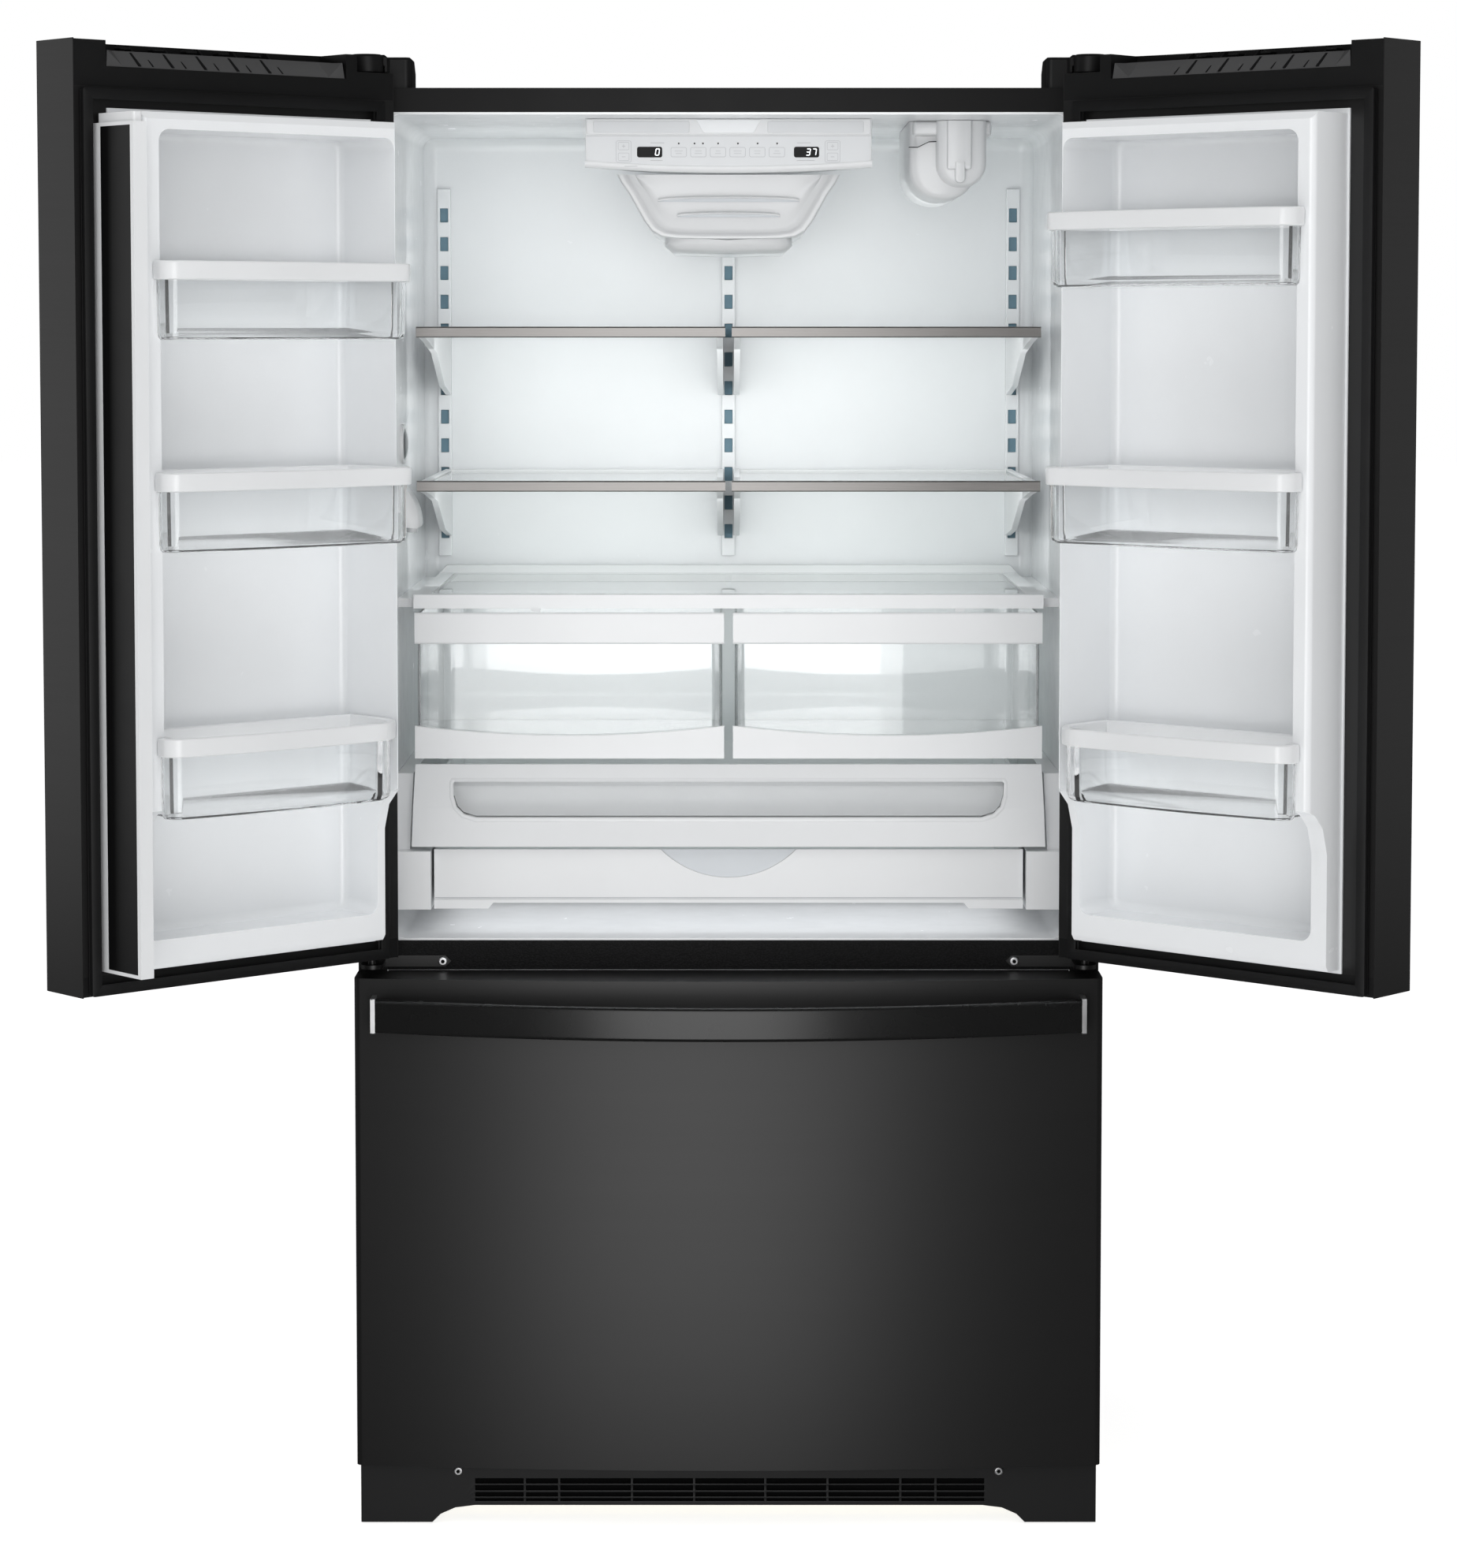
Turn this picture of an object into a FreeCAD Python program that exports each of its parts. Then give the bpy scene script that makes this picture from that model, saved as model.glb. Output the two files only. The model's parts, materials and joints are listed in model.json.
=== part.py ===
import FreeCAD, Part
import math
import os

# French door refrigerator with a bottom freezer drawer, millimetres, +Z up, +X to the right, +Y to the rear.
# Every piece is modelled in the cabinet's own frame, where Y = 0 is the front flange that the gaskets seal on
# and Z = 0 is the floor. The doors are modelled closed and then swung open to their stops, which is the rest pose.

# ---- driving dimensions -------------------------------------------------------------------------------------
WIDTH = 905.0
HALF = WIDTH / 2
CASE_DEPTH = 724.0
CASE_TOP = 1748.0
CASE_BOTTOM = 62.0
SHEET = 1.2
FLANGE_SIDE = 35.0
FLANGE_TOP = 29.0
BOW_CENTRE = -92.0
BOW_RADIUS = 4107.6
DOOR_BACK = -11.0
DOOR_BOTTOM = 698.0
DOOR_TOP = 1783.0
CENTRE_GAP = 7.0
DOOR_OUTER = HALF - 0.5
DOOR_INNER = CENTRE_GAP / 2
HINGE_X = 432.5
HINGE_Y = -38.0
OPEN_ANGLE = 138.0
PIN_R = 5.0
PIN_CLEAR = 0.05
GASKET_FRONT = -0.3
MULLION_PIVOT = (-29.0, 1.0)
DRAWER_BOTTOM = 79.0
DRAWER_TOP = 676.0
FRESH_FLOOR = 715.0
FRESH_CEILING = 1716.0
FRESH_BACK = 600.0
FRESH_HALF = 413.0
FREEZER_FLOOR = 94.0
FREEZER_CEILING = 664.0
FREEZER_BACK = 470.0
FREEZER_HALF = 396.0
MACHINE_FRONT = 482.0
MACHINE_TOP = 330.0
SHELF_TOPS = (1461.0, 1269.5)
ORIGIN_Y = 166.0

V = FreeCAD.Vector
PARTS = {}


# ---- helpers ------------------------------------------------------------------------------------------------
def box(x, y, z):
    """A box from three (low, high) pairs."""
    return Part.makeBox(x[1] - x[0], y[1] - y[0], z[1] - z[0], V(x[0], y[0], z[0]))


def prism(points, direction):
    """A closed polygon of 3D points, pushed along a vector."""
    corners = [V(*p) for p in points]
    return Part.Face(Part.makePolygon(corners + corners[:1])).extrude(V(*direction))


def side_prism(outline, x):
    """An outline of (y, z) points, pushed along X from x[0] to x[1]."""
    return prism([(x[0], y, z) for y, z in outline], (x[1] - x[0], 0, 0))


def front_prism(outline, y):
    """An outline of (x, z) points, pushed along Y from y[0] to y[1]."""
    return prism([(px, y[0], pz) for px, pz in outline], (0, y[1] - y[0], 0))


def cylinder(radius, start, end):
    """A cylinder from one point to another."""
    a, b = V(*start), V(*end)
    return Part.makeCylinder(radius, (b - a).Length, a, b - a)


def fuse(shapes):
    """One clean solid from several touching ones."""
    shapes = list(shapes)
    return shapes[0].multiFuse(shapes[1:]).removeSplitter() if len(shapes) > 1 else shapes[0]


def group(shapes):
    """Several separate solids in one node."""
    return Part.makeCompound(list(shapes))


def mirrored(shape):
    """The same shape on the other side of the refrigerator."""
    return shape.mirror(V(0, 0, 0), V(1, 0, 0))


def both_sides(shape):
    """A shape and its mirror image, as separate solids."""
    return group([shape, mirrored(shape)])


def rounded(shape, radius, axis):
    """Every straight outer edge along one axis, rounded."""
    edges = []
    for edge in shape.Edges:
        if edge.Curve.TypeId != "Part::GeomLine":
            continue
        run = edge.tangentAt(edge.FirstParameter)
        if abs((run.x, run.y, run.z)["xyz".index(axis)]) > 0.999:
            edges.append(edge)
    return shape.makeFillet(radius, edges)


def rounded_box(x, y, z, radius, axis):
    return rounded(box(x, y, z), radius, axis)


def bowed(x, z, inset, back, edge_radius):
    """A slab whose front follows the shared bow of the doors and the freezer drawer, moved in by inset."""
    slab = box((x[0] + inset, x[1] - inset), (BOW_CENTRE - 5, back), z)
    radius = BOW_RADIUS - inset
    barrel = Part.makeCylinder(radius, z[1] - z[0] + 2, V(0, BOW_CENTRE + BOW_RADIUS, z[0] - 1))
    slab = slab.common(barrel)
    front = [
        e
        for e in slab.Edges
        if e.BoundBox.ZLength > z[1] - z[0] - 0.01 and e.BoundBox.XLength < 0.01 and e.BoundBox.YMax < back - 20
    ]
    return slab.makeFillet(max(edge_radius - inset, 1.0), front)


def ring(x, y, z, width):
    """A rectangular frame lying in the XZ plane."""
    inner = box((x[0] + width, x[1] - width), (y[0] - 1, y[1] + 1), (z[0] + width, z[1] - width))
    return box(x, y, z).cut(inner)


def arc_bar(half_length, end_depth, centre_depth, thickness, height):
    """A bar bowed in one plane: its length runs along X, its bow along -Y, its height along Z from 0."""
    sag = end_depth - centre_depth
    radius = (half_length * half_length + sag * sag) / (2 * sag)
    r = 3.0
    y = (centre_depth, centre_depth + thickness)
    corners = [(y[0] + r, 0), (y[1] - r, 0), (y[1], r), (y[1], height - r), (y[1] - r, height), (y[0] + r, height)]
    corners += [(y[0], height - r), (y[0], r)]
    section = Part.Face(Part.makePolygon([V(0, py, pz) for py, pz in corners + corners[:1]]))
    angle = math.degrees(math.asin(half_length / radius)) + 1.0
    axis = V(0, centre_depth + radius, 0)
    section.rotate(axis, V(0, 0, 1), -angle)
    bar = section.revolve(axis, V(0, 0, 1), 2 * angle)
    return bar.common(box((-half_length, half_length), (centre_depth - 5, end_depth + 40), (-1, height + 1)))


def keep(name, shape):
    PARTS[name] = shape


# ---- cabinet ------------------------------------------------------------------------------------------------
def build_case():
    outer = box((-HALF, HALF), (0, CASE_DEPTH - 1.5), (CASE_BOTTOM, CASE_TOP))
    inside = box((-HALF + SHEET, HALF - SHEET), (SHEET, CASE_DEPTH), (CASE_BOTTOM - 1, CASE_TOP - SHEET))
    opening = box((-HALF + FLANGE_SIDE, HALF - FLANGE_SIDE), (-1, 10), (CASE_BOTTOM - 1, CASE_TOP - FLANGE_TOP))
    case = rounded(outer, 4.0, "y").cut(inside).cut(opening)
    keep("outer_case", case)

    panel = box((-HALF + 1, HALF - 1), (CASE_DEPTH - 1.5, CASE_DEPTH), (CASE_BOTTOM, CASE_TOP - 1))
    for row in range(9):
        z = 100 + row * 22
        for side in (-1, 1):
            x = sorted((side * 60, side * 380))
            panel = panel.cut(box(x, (CASE_DEPTH - 5, CASE_DEPTH + 5), (z, z + 8)))
    keep("rear_panel", panel)

    mouth = (-HALF + FLANGE_SIDE, HALF - FLANGE_SIDE)
    fresh_outer = box(mouth, (0, FRESH_BACK + 3), (FRESH_FLOOR - 3, CASE_TOP - FLANGE_TOP))
    fresh_inner = box((-FRESH_HALF, FRESH_HALF), (-1, FRESH_BACK), (FRESH_FLOOR, FRESH_CEILING))
    fresh_inner = fresh_inner.makeFillet(
        18.0, [e for e in fresh_inner.Edges if e.BoundBox.YLength > 100 or e.BoundBox.YMin > FRESH_BACK - 1]
    )
    keep("fresh_food_liner", fresh_outer.cut(fresh_inner))

    freezer_outer = box(mouth, (0, 3), (FREEZER_FLOOR - 12, FREEZER_CEILING + 12))
    tub_x = (-FREEZER_HALF - 3, FREEZER_HALF + 3)
    freezer_tub = box(tub_x, (0, FREEZER_BACK + 3), (FREEZER_FLOOR - 3, FREEZER_CEILING + 3))
    freezer_inner = box((-FREEZER_HALF, FREEZER_HALF), (-1, FREEZER_BACK), (FREEZER_FLOOR, FREEZER_CEILING))
    freezer_inner = freezer_inner.makeFillet(
        14.0, [e for e in freezer_inner.Edges if e.BoundBox.YLength > 100 or e.BoundBox.YMin > FREEZER_BACK - 1]
    )
    freezer = fuse([freezer_outer, freezer_tub]).cut(freezer_inner)
    for row in range(4):
        z = 560 + row * 16
        freezer = freezer.cut(box((-140, 140), (FREEZER_BACK - 5, FREEZER_BACK + 8), (z, z + 7)))
    keep("freezer_liner", freezer)

    rail = box(mouth, (0, 14), (FREEZER_CEILING + 12, FRESH_FLOOR - 3))
    keep("centre_rail", rail)

    foam = box((-HALF + SHEET, HALF - SHEET), (SHEET, CASE_DEPTH - 1.5), (CASE_BOTTOM, CASE_TOP - SHEET))
    foam = foam.cut(fresh_outer).cut(freezer_tub).cut(freezer_outer).cut(rail)
    foam = foam.cut(box((-HALF + 20, HALF - 20), (MACHINE_FRONT, CASE_DEPTH), (CASE_BOTTOM - 1, MACHINE_TOP)))
    foam = foam.cut(box((-300, 300), (FREEZER_BACK, 580), (350, 645)))
    keep("foam_insulation", foam)


def build_base():
    side = box((408, 450), (20, 700), (32, CASE_BOTTOM))
    side = side.cut(box((411, 447), (19, 701), (31, CASE_BOTTOM - 3)))
    front = box((-408, 408), (20, 60), (CASE_BOTTOM - 3, CASE_BOTTOM))
    floor = box((-408, 408), (MACHINE_FRONT, 700), (CASE_BOTTOM - 3, CASE_BOTTOM))
    axle_z = 22.0
    hanger = box((411, 414), (620, 660), (10, CASE_BOTTOM - 3))
    axle = cylinder(4.0, (414, 640, axle_z), (443, 640, axle_z))
    outer_hanger = box((443, 446), (620, 660), (10, CASE_BOTTOM - 3))
    frame = [side, hanger, outer_hanger, axle]
    keep("base_frame", fuse(frame + [mirrored(s) for s in frame] + [front, floor]))

    roller = cylinder(axle_z, (417, 640, axle_z), (440, 640, axle_z))
    roller = roller.cut(cylinder(4.0 + PIN_CLEAR, (410, 640, axle_z), (445, 640, axle_z)))
    keep("rear_rollers", both_sides(roller))

    pad = cylinder(17.0, (380, 40, 0), (380, 40, 8))
    stem = cylinder(6.0, (380, 40, 8), (380, 40, CASE_BOTTOM - 3))
    nut = prism(
        [(380 + 10 * math.cos(math.radians(a)), 40 + 10 * math.sin(math.radians(a)), 40) for a in range(0, 360, 60)],
        (0, 0, 8),
    )
    keep("levelling_legs", both_sides(fuse([pad, stem, nut])))

    outline = [(-449, 2), (-362, 2), (-352, 12), (-334, 20), (-310, 23), (310, 23), (334, 20), (352, 12), (362, 2)]
    outline += [(449, 2), (449, 75), (-449, 75)]
    face = front_prism(outline, (-46, 0))
    hollow = [(-445, 1), (-366, 1), (-356, 14), (-336, 24), (-310, 27), (310, 27), (336, 24), (356, 14), (366, 1)]
    hollow += [(445, 1), (445, 71), (-445, 71)]
    grille = face.cut(front_prism(hollow, (-42, 1)))
    grille = grille.cut(box((-HALF, HALF), (-30, 1), (0, 22)))
    stops = (-311, -249, -207, -118, -42, 45, 121, 210, 253, 314)
    rows = ((49.9, 56.3), (41.5, 47.7), (33.8, 39.0), (28.2, 31.6))
    for z in rows:
        for a, b in zip(stops, stops[1:]):
            grille = grille.cut(box((a + 1.5, b - 1.5), (-50, -38), z))
    keep("base_grille", grille)


def build_machine():
    dome = Part.makeSphere(62, V(-230, 600, 190))
    can = cylinder(62, (-230, 600, 80), (-230, 600, 190))
    foot = box((-310, -150), (540, 660), (CASE_BOTTOM, CASE_BOTTOM + 24))
    tube = cylinder(5, (-168, 600, 200), (-120, 600, 200))
    keep("compressor", fuse([dome, can, foot, tube]))

    runs = []
    for row in range(5):
        for column in range(4):
            z = 85 + row * 45
            y = 520 + column * 50
            runs.append(cylinder(4, (150, y, z), (400, y, z)))
    plates = [box((x, x + 2), (510, 690), (CASE_BOTTOM, 290)) for x in (150, 210, 275, 340, 398)]
    keep("condenser_coil", fuse(runs + plates))

    keep("condenser_fan", fan((20, 600, 180), (1, 0, 0), 70, 24, 5))

    fins = [box((x, x + 2), (500, 550), (370, 520)) for x in range(-270, 271, 30)]
    tubes = [cylinder(4, (-280, y, z), (285, y, z)) for z in (395, 430, 465, 500) for y in (513, 537)]
    keep("evaporator_coil", fuse(fins + tubes))
    keep("evaporator_fan", fan((0, 520, 590), (0, 1, 0), 48, 18, 5))


def fan(centre, axis, radius, depth, blades):
    """A hub and flat blades set at an angle, turning about the axis through its centre."""
    hub = Part.makeCylinder(radius * 0.28, depth, V(0, 0, -depth / 2))
    pieces = [hub]
    for k in range(blades):
        blade = Part.makeBox(radius * 0.8, radius * 0.5, 1.6, V(radius * 0.2, -radius * 0.25, -0.8))
        blade.rotate(V(0, 0, 0), V(1, 0, 0), 28)
        blade.rotate(V(0, 0, 0), V(0, 0, 1), 360.0 * k / blades)
        pieces.append(blade)
    wheel = fuse(pieces)
    if axis[0]:
        wheel.rotate(V(0, 0, 0), V(0, 1, 0), 90)
    elif axis[1]:
        wheel.rotate(V(0, 0, 0), V(1, 0, 0), -90)
    wheel.translate(V(*centre))
    return wheel


# ---- hinges -------------------------------------------------------------------------------------------------
def build_hinges():
    x, y = -HINGE_X, HINGE_Y
    top_plate = box((-448, -392), (14, 66), (CASE_TOP, CASE_TOP + 4))
    riser = box((-424, -413), (14, 18), (CASE_TOP, 1768))
    arm = box((-424, -413), (y, 18), (1764, 1768))
    nose = cylinder(13.5, (x, y, 1764), (x, y, 1768))
    pin = cylinder(PIN_R, (x, y, 1740), (x, y, 1766))
    top_bracket = fuse([top_plate, riser, arm, nose, pin])

    nose = cylinder(20, (x, y, 1764), (x, y, 1785))
    neck = box((-428.5, -408.5), (y, 8), (1764, 1785))
    cap = side_prism([(4, CASE_TOP), (4, 1785), (40, 1785), (74, 1762), (74, CASE_TOP)], (-455, -382))
    cover = fuse([nose, neck, rounded(cap, 9.0, "z")])
    cover = cover.makeChamfer(3.0, [e for e in cover.Edges if e.BoundBox.ZMin > 1784.9])
    room_nose = cylinder(16.5, (x, y, 1760), (x, y, 1772))
    room_neck = box((-426, -411), (y, 12), (1760, 1772))
    room = box((-451, -386), (8, 70), (CASE_TOP - 1, 1759))
    room_riser = box((-426, -411), (8, 24), (CASE_TOP - 1, 1772))
    keep("hinge_covers", both_sides(cover.cut(fuse([room_nose, room_neck, room, room_riser]))))

    strip = front_prism([(-450, 680), (-346, 680), (-339, 687), (-346, 694), (-450, 694)], (-3, 0))
    arm = box((-446, -419), (y, 0), (684, 689))
    nose = cylinder(13.5, (x, y, 684), (x, y, 689))
    pin = cylinder(PIN_R, (x, y, 688), (x, y, 711))
    centre_bracket = fuse([strip, arm, nose, pin])
    brackets = [top_bracket, centre_bracket]
    keep("hinge_brackets", group(brackets + [mirrored(b) for b in brackets]))

    screws = [pan_screw((-349, -3, 687)), pan_screw((-330, -46, 66))]
    keep("frame_screws", group(screws + [mirrored(s) for s in screws]))


def pan_screw(point):
    """A pan-head screw that faces forwards, with a square socket, its head seated at the point."""
    head = cylinder(5.5, point, (point[0], point[1] - 4, point[2]))
    head = head.makeFillet(1.6, [head.Edges[0]] if head.Edges[0].BoundBox.YMax < point[1] - 3.9 else [head.Edges[2]])
    socket = box((point[0] - 1.4, point[0] + 1.4), (point[1] - 5, point[1] - 1.5), (point[2] - 1.4, point[2] + 1.4))
    return head.cut(socket)


# ---- doors --------------------------------------------------------------------------------------------------
BIN_LEVELS = {
    "left": ((1534.0, 92.0), (1296.0, 95.0), (997.0, 98.0)),
    "right": ((1594.0, 92.0), (1296.0, 95.0), (990.0, 91.0)),
}
DYKE_DEPTH = 70.0
DYKE_X = (-410.0, -49.0)
RECESS_X = (-399.0, -70.0)
BIN_X = (-398.0, -71.0)
RIM_HEIGHT = 19.0


def door_skin():
    skin = bowed((-DOOR_OUTER, -DOOR_INNER), (DOOR_BOTTOM, DOOR_TOP), 0, DOOR_BACK, 8.0)
    hollow = bowed((-DOOR_OUTER, -DOOR_INNER), (DOOR_BOTTOM - 2, DOOR_TOP + 2), SHEET, DOOR_BACK - SHEET, 8.0)
    skin = skin.cut(hollow)
    skin = skin.cut(box((-403, -65), (-14, 0), (755, 1686)))
    for z in ((DOOR_BOTTOM - 1, 722), (1730, DOOR_TOP + 1)):
        skin = skin.cut(box((-DOOR_OUTER + SHEET, -DOOR_INNER - SHEET), (-14, 0), z))
    return skin.cut(box((-460, -398), (-60, 0), (1762, 1790)))


def door_end_caps():
    def cap(z):
        return bowed((-DOOR_OUTER, -DOOR_INNER), z, SHEET, DOOR_BACK, 8.0)

    bore = cylinder(PIN_R + PIN_CLEAR, (-HINGE_X, HINGE_Y, 600), (-HINGE_X, HINGE_Y, 1800))
    boss = cylinder(13, (-HINGE_X, HINGE_Y, 1730), (-HINGE_X, HINGE_Y, 1762))
    top = cap((1730, DOOR_TOP - 1))
    room = box((-446, -8), (-62, DOOR_BACK - 3), (1729, 1748)).cut(boss)
    slope = [(-64, DOOR_TOP + 1), (-64, 1770), (-30, 1753), (0, 1753), (0, DOOR_TOP + 1)]
    pocket = side_prism(slope, (-382, -47))
    top = top.cut(room).cut(pocket).cut(box((-460, -398), (-60, 0), (1762, 1790))).cut(bore)
    web = [(-64, 1781), (-58, 1781), (-28, 1755), (-28, 1753), (-30, 1753), (-64, 1770)]
    ribs = []
    for k in range(5):
        x = -110 - k * 48
        ribs.append(side_prism(web, (x, x + 3)))
    top = fuse([top] + ribs)
    bottom = cap((DOOR_BOTTOM + 1, 722))
    low_boss = cylinder(13, (-HINGE_X, HINGE_Y, 698), (-HINGE_X, HINGE_Y, 722))
    bottom = bottom.cut(box((-446, -8), (-80, DOOR_BACK - 3), (706, 723)).cut(low_boss)).cut(bore)
    return group([top, bottom])


def door_liner():
    outline = [(DOOR_BACK, 727), (14, 727), (19, 734), (19, 862), (28, 892), (44, 908), (59, 914), (59, 1692)]
    outline += [(52, 1700), (DOOR_BACK, 1700)]
    dyke = side_prism(outline, DYKE_X)
    edges = [e for e in dyke.Edges if e.BoundBox.ZLength > 600 and e.BoundBox.YMin > 50 and e.BoundBox.XMin > -100]
    dyke = dyke.makeFillet(7.0, edges)
    dyke = dyke.cut(prism([(-411, 44.7, 700), (-411, 61, 700), (-398.5, 61, 700)], (0, 0, 1010)))
    flange = box((-416, -46.5), (DOOR_BACK, DOOR_BACK + 2), (722, 1706))
    pocket = rounded_box((-402, -66), (-50, DOOR_BACK), (757, 1684), 12, "y")
    recess = rounded_box(RECESS_X, (-47, 80), (760, 1681), 14, "y")
    recess = recess.makeFillet(10.0, [e for e in recess.Edges if e.BoundBox.YMax < -46.9])
    return fuse([dyke, flange, pocket]).cut(recess)


def bin_block(grow, z):
    """A solid bin: flat back and sides, bowed front with round corners, moved outwards by grow."""
    x0, x1 = BIN_X[0] - grow, BIN_X[1] + grow
    back, side, front = -30.0 - grow, 68.0 + grow, 86.0 + grow
    bow = Part.Arc(V(x0, side, z[0]), V((x0 + x1) / 2, front, z[0]), V(x1, side, z[0])).toShape()
    corners = [V(x1, side, z[0]), V(x1, back, z[0]), V(x0, back, z[0]), V(x0, side, z[0])]
    block = Part.Face(Part.Wire([bow] + [Part.makeLine(a, b) for a, b in zip(corners, corners[1:])]))
    block = block.extrude(V(0, 0, z[1] - z[0]))
    upright = [e for e in block.Edges if e.BoundBox.ZLength > 1 and e.BoundBox.YMin > side - 1]
    return block.makeFillet(28.0 + grow, upright)


def door_bins(side):
    tubs, rims = [], []
    for top, depth in BIN_LEVELS[side]:
        outer = bin_block(-4.0, (top - depth, top - RIM_HEIGHT))
        tubs.append(outer.cut(bin_block(-7.0, (top - depth + 3, top))))
        band = bin_block(0.0, (top - RIM_HEIGHT, top))
        band = band.makeFillet(2.5, [e for e in band.Edges if e.BoundBox.ZMin > top - 0.01])
        rims.append(band.cut(bin_block(-7.0, (top - RIM_HEIGHT - 1, top + 1))))
    return group(tubs), group(rims)


def door_handle():
    """An upright bar bowed away from the door, standing on a post at each end."""
    bar = arc_bar(360.0, -30.0, -58.0, 14.0, 34.0)
    posts = [box((x, x + 10), (-30, 0.9), (1, 33)) for x in (-360, 350)]
    handle = fuse([bar] + posts)
    handle.rotate(V(0, 0, 0), V(0, 1, 0), 90)
    handle.translate(V(-88, BOW_CENTRE, 1180))
    return handle.cut(bowed((-DOOR_OUTER, -DOOR_INNER), (DOOR_BOTTOM, DOOR_TOP), 0, DOOR_BACK, 8.0))


def build_doors():
    skin, caps, liner, handle = door_skin(), door_end_caps(), door_liner(), door_handle()
    gasket = ring((-432, -10), (DOOR_BACK, GASKET_FRONT), (700, 1728), 13.0)
    for side in ("left", "right"):
        tubs, rims = door_bins(side)
        pieces = {"skin": skin, "end_caps": caps, "liner": liner, "gasket": gasket, "handle": handle}
        for name, shape in pieces.items():
            place_door(f"{side}_door_{name}", shape, side)
        place_door(f"{side}_bin_tubs", tubs, side)
        place_door(f"{side}_bin_rims", rims, side)

    plate = box((-40, 40.5), (0.5, 17.5), (727, 1688))
    upright = [e for e in plate.Edges if e.BoundBox.ZLength > 900]
    plate = plate.makeFillet(6.0, [e for e in upright if e.BoundBox.YMin > 17 and e.BoundBox.XMax < 0])
    seat = box((-26, 34), (0, 1.7), (731, 1684))
    guide = rounded_box((-36, 36), (4, 16), (1688, 1699), 3.0, "z")
    mullion = fuse([plate, guide]).cut(seat)
    face = box((-26, 34), (0.5, 1.7), (731, 1684))
    for name, shape in {"mullion_frame": mullion, "mullion_face": face}.items():
        folded = shape.copy()
        folded.rotate(V(*MULLION_PIVOT, 0), V(0, 0, 1), 90)
        place_door(name, folded, "left")


def place_door(name, shape, side):
    """Swing a closed left-hand piece open, mirroring it first for the right-hand door."""
    opened = shape.copy()
    opened.rotate(V(-HINGE_X, HINGE_Y, 0), V(0, 0, 1), -OPEN_ANGLE)
    keep(name, mirrored(opened) if side == "right" else opened)


# ---- freezer drawer -----------------------------------------------------------------------------------------
def build_freezer_drawer():
    x = (-HALF + 0.5, HALF - 0.5)
    skin = bowed(x, (DRAWER_BOTTOM, DRAWER_TOP), 0, DOOR_BACK, 8.0)
    hollow = bowed(x, (DRAWER_BOTTOM + SHEET, DRAWER_TOP - SHEET), SHEET, DOOR_BACK - SHEET, 8.0)
    keep("drawer_skin", skin.cut(hollow).cut(box((-380, 380), (-14, 0), (120, 640))))
    keep("drawer_gasket", ring((-432, 432), (DOOR_BACK, GASKET_FRONT), (86, 672), 13.0))
    flange = box((-416, 416), (DOOR_BACK, DOOR_BACK + 2), (102, 656))
    dyke = rounded_box((-388, 388), (DOOR_BACK, 18), (108, 650), 16, "y")
    dish = rounded_box((-376, 376), (-8, 19), (120, 638), 12, "y")
    keep("drawer_liner", fuse([flange, dyke]).cut(dish))

    bar = arc_bar(424.0, -100.0, -164.0, 14.0, 40.0)
    bar.translate(V(0, 0, 615))
    keep("drawer_handle", bar)
    front = bowed(x, (DRAWER_BOTTOM, DRAWER_TOP), 0, DOOR_BACK, 8.0)
    cap = rounded_box((424, 429.5), (-101, -60), (613.5, 656.5), 2.0, "x")
    keep("drawer_handle_caps", both_sides(cap.cut(front)))

    tray = rounded_box((-346, 346), (24, 440), (132, 330), 20, "z")
    room = rounded_box((-343, 343), (27, 437), (136, 340), 17, "z")
    lip = rounded_box((-366, 366), (24, 440), (318, 323), 20, "z").cut(room)
    tray = tray.cut(box((-400, 400), (0, 500), (323, 400))).cut(room)
    slots = []
    for k in range(9):
        x0 = -300 + k * 68
        slots.append(box((x0, x0 + 46), (0, 500), (180, 290)))
    keep("drawer_basket", fuse([tray, lip]).cut(fuse(slots)))
    slide = fuse([box((352, 374), (-8, 440), (308, 318)), box((371, 374), (-8, 440), (308, 346))])
    keep("drawer_slides", both_sides(slide))
    channel = box((374.5, FREEZER_HALF), (30, 450), (300, 352)).cut(box((374, 392), (29, 451), (304, 348)))
    keep("drawer_rails", both_sides(channel))


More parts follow.
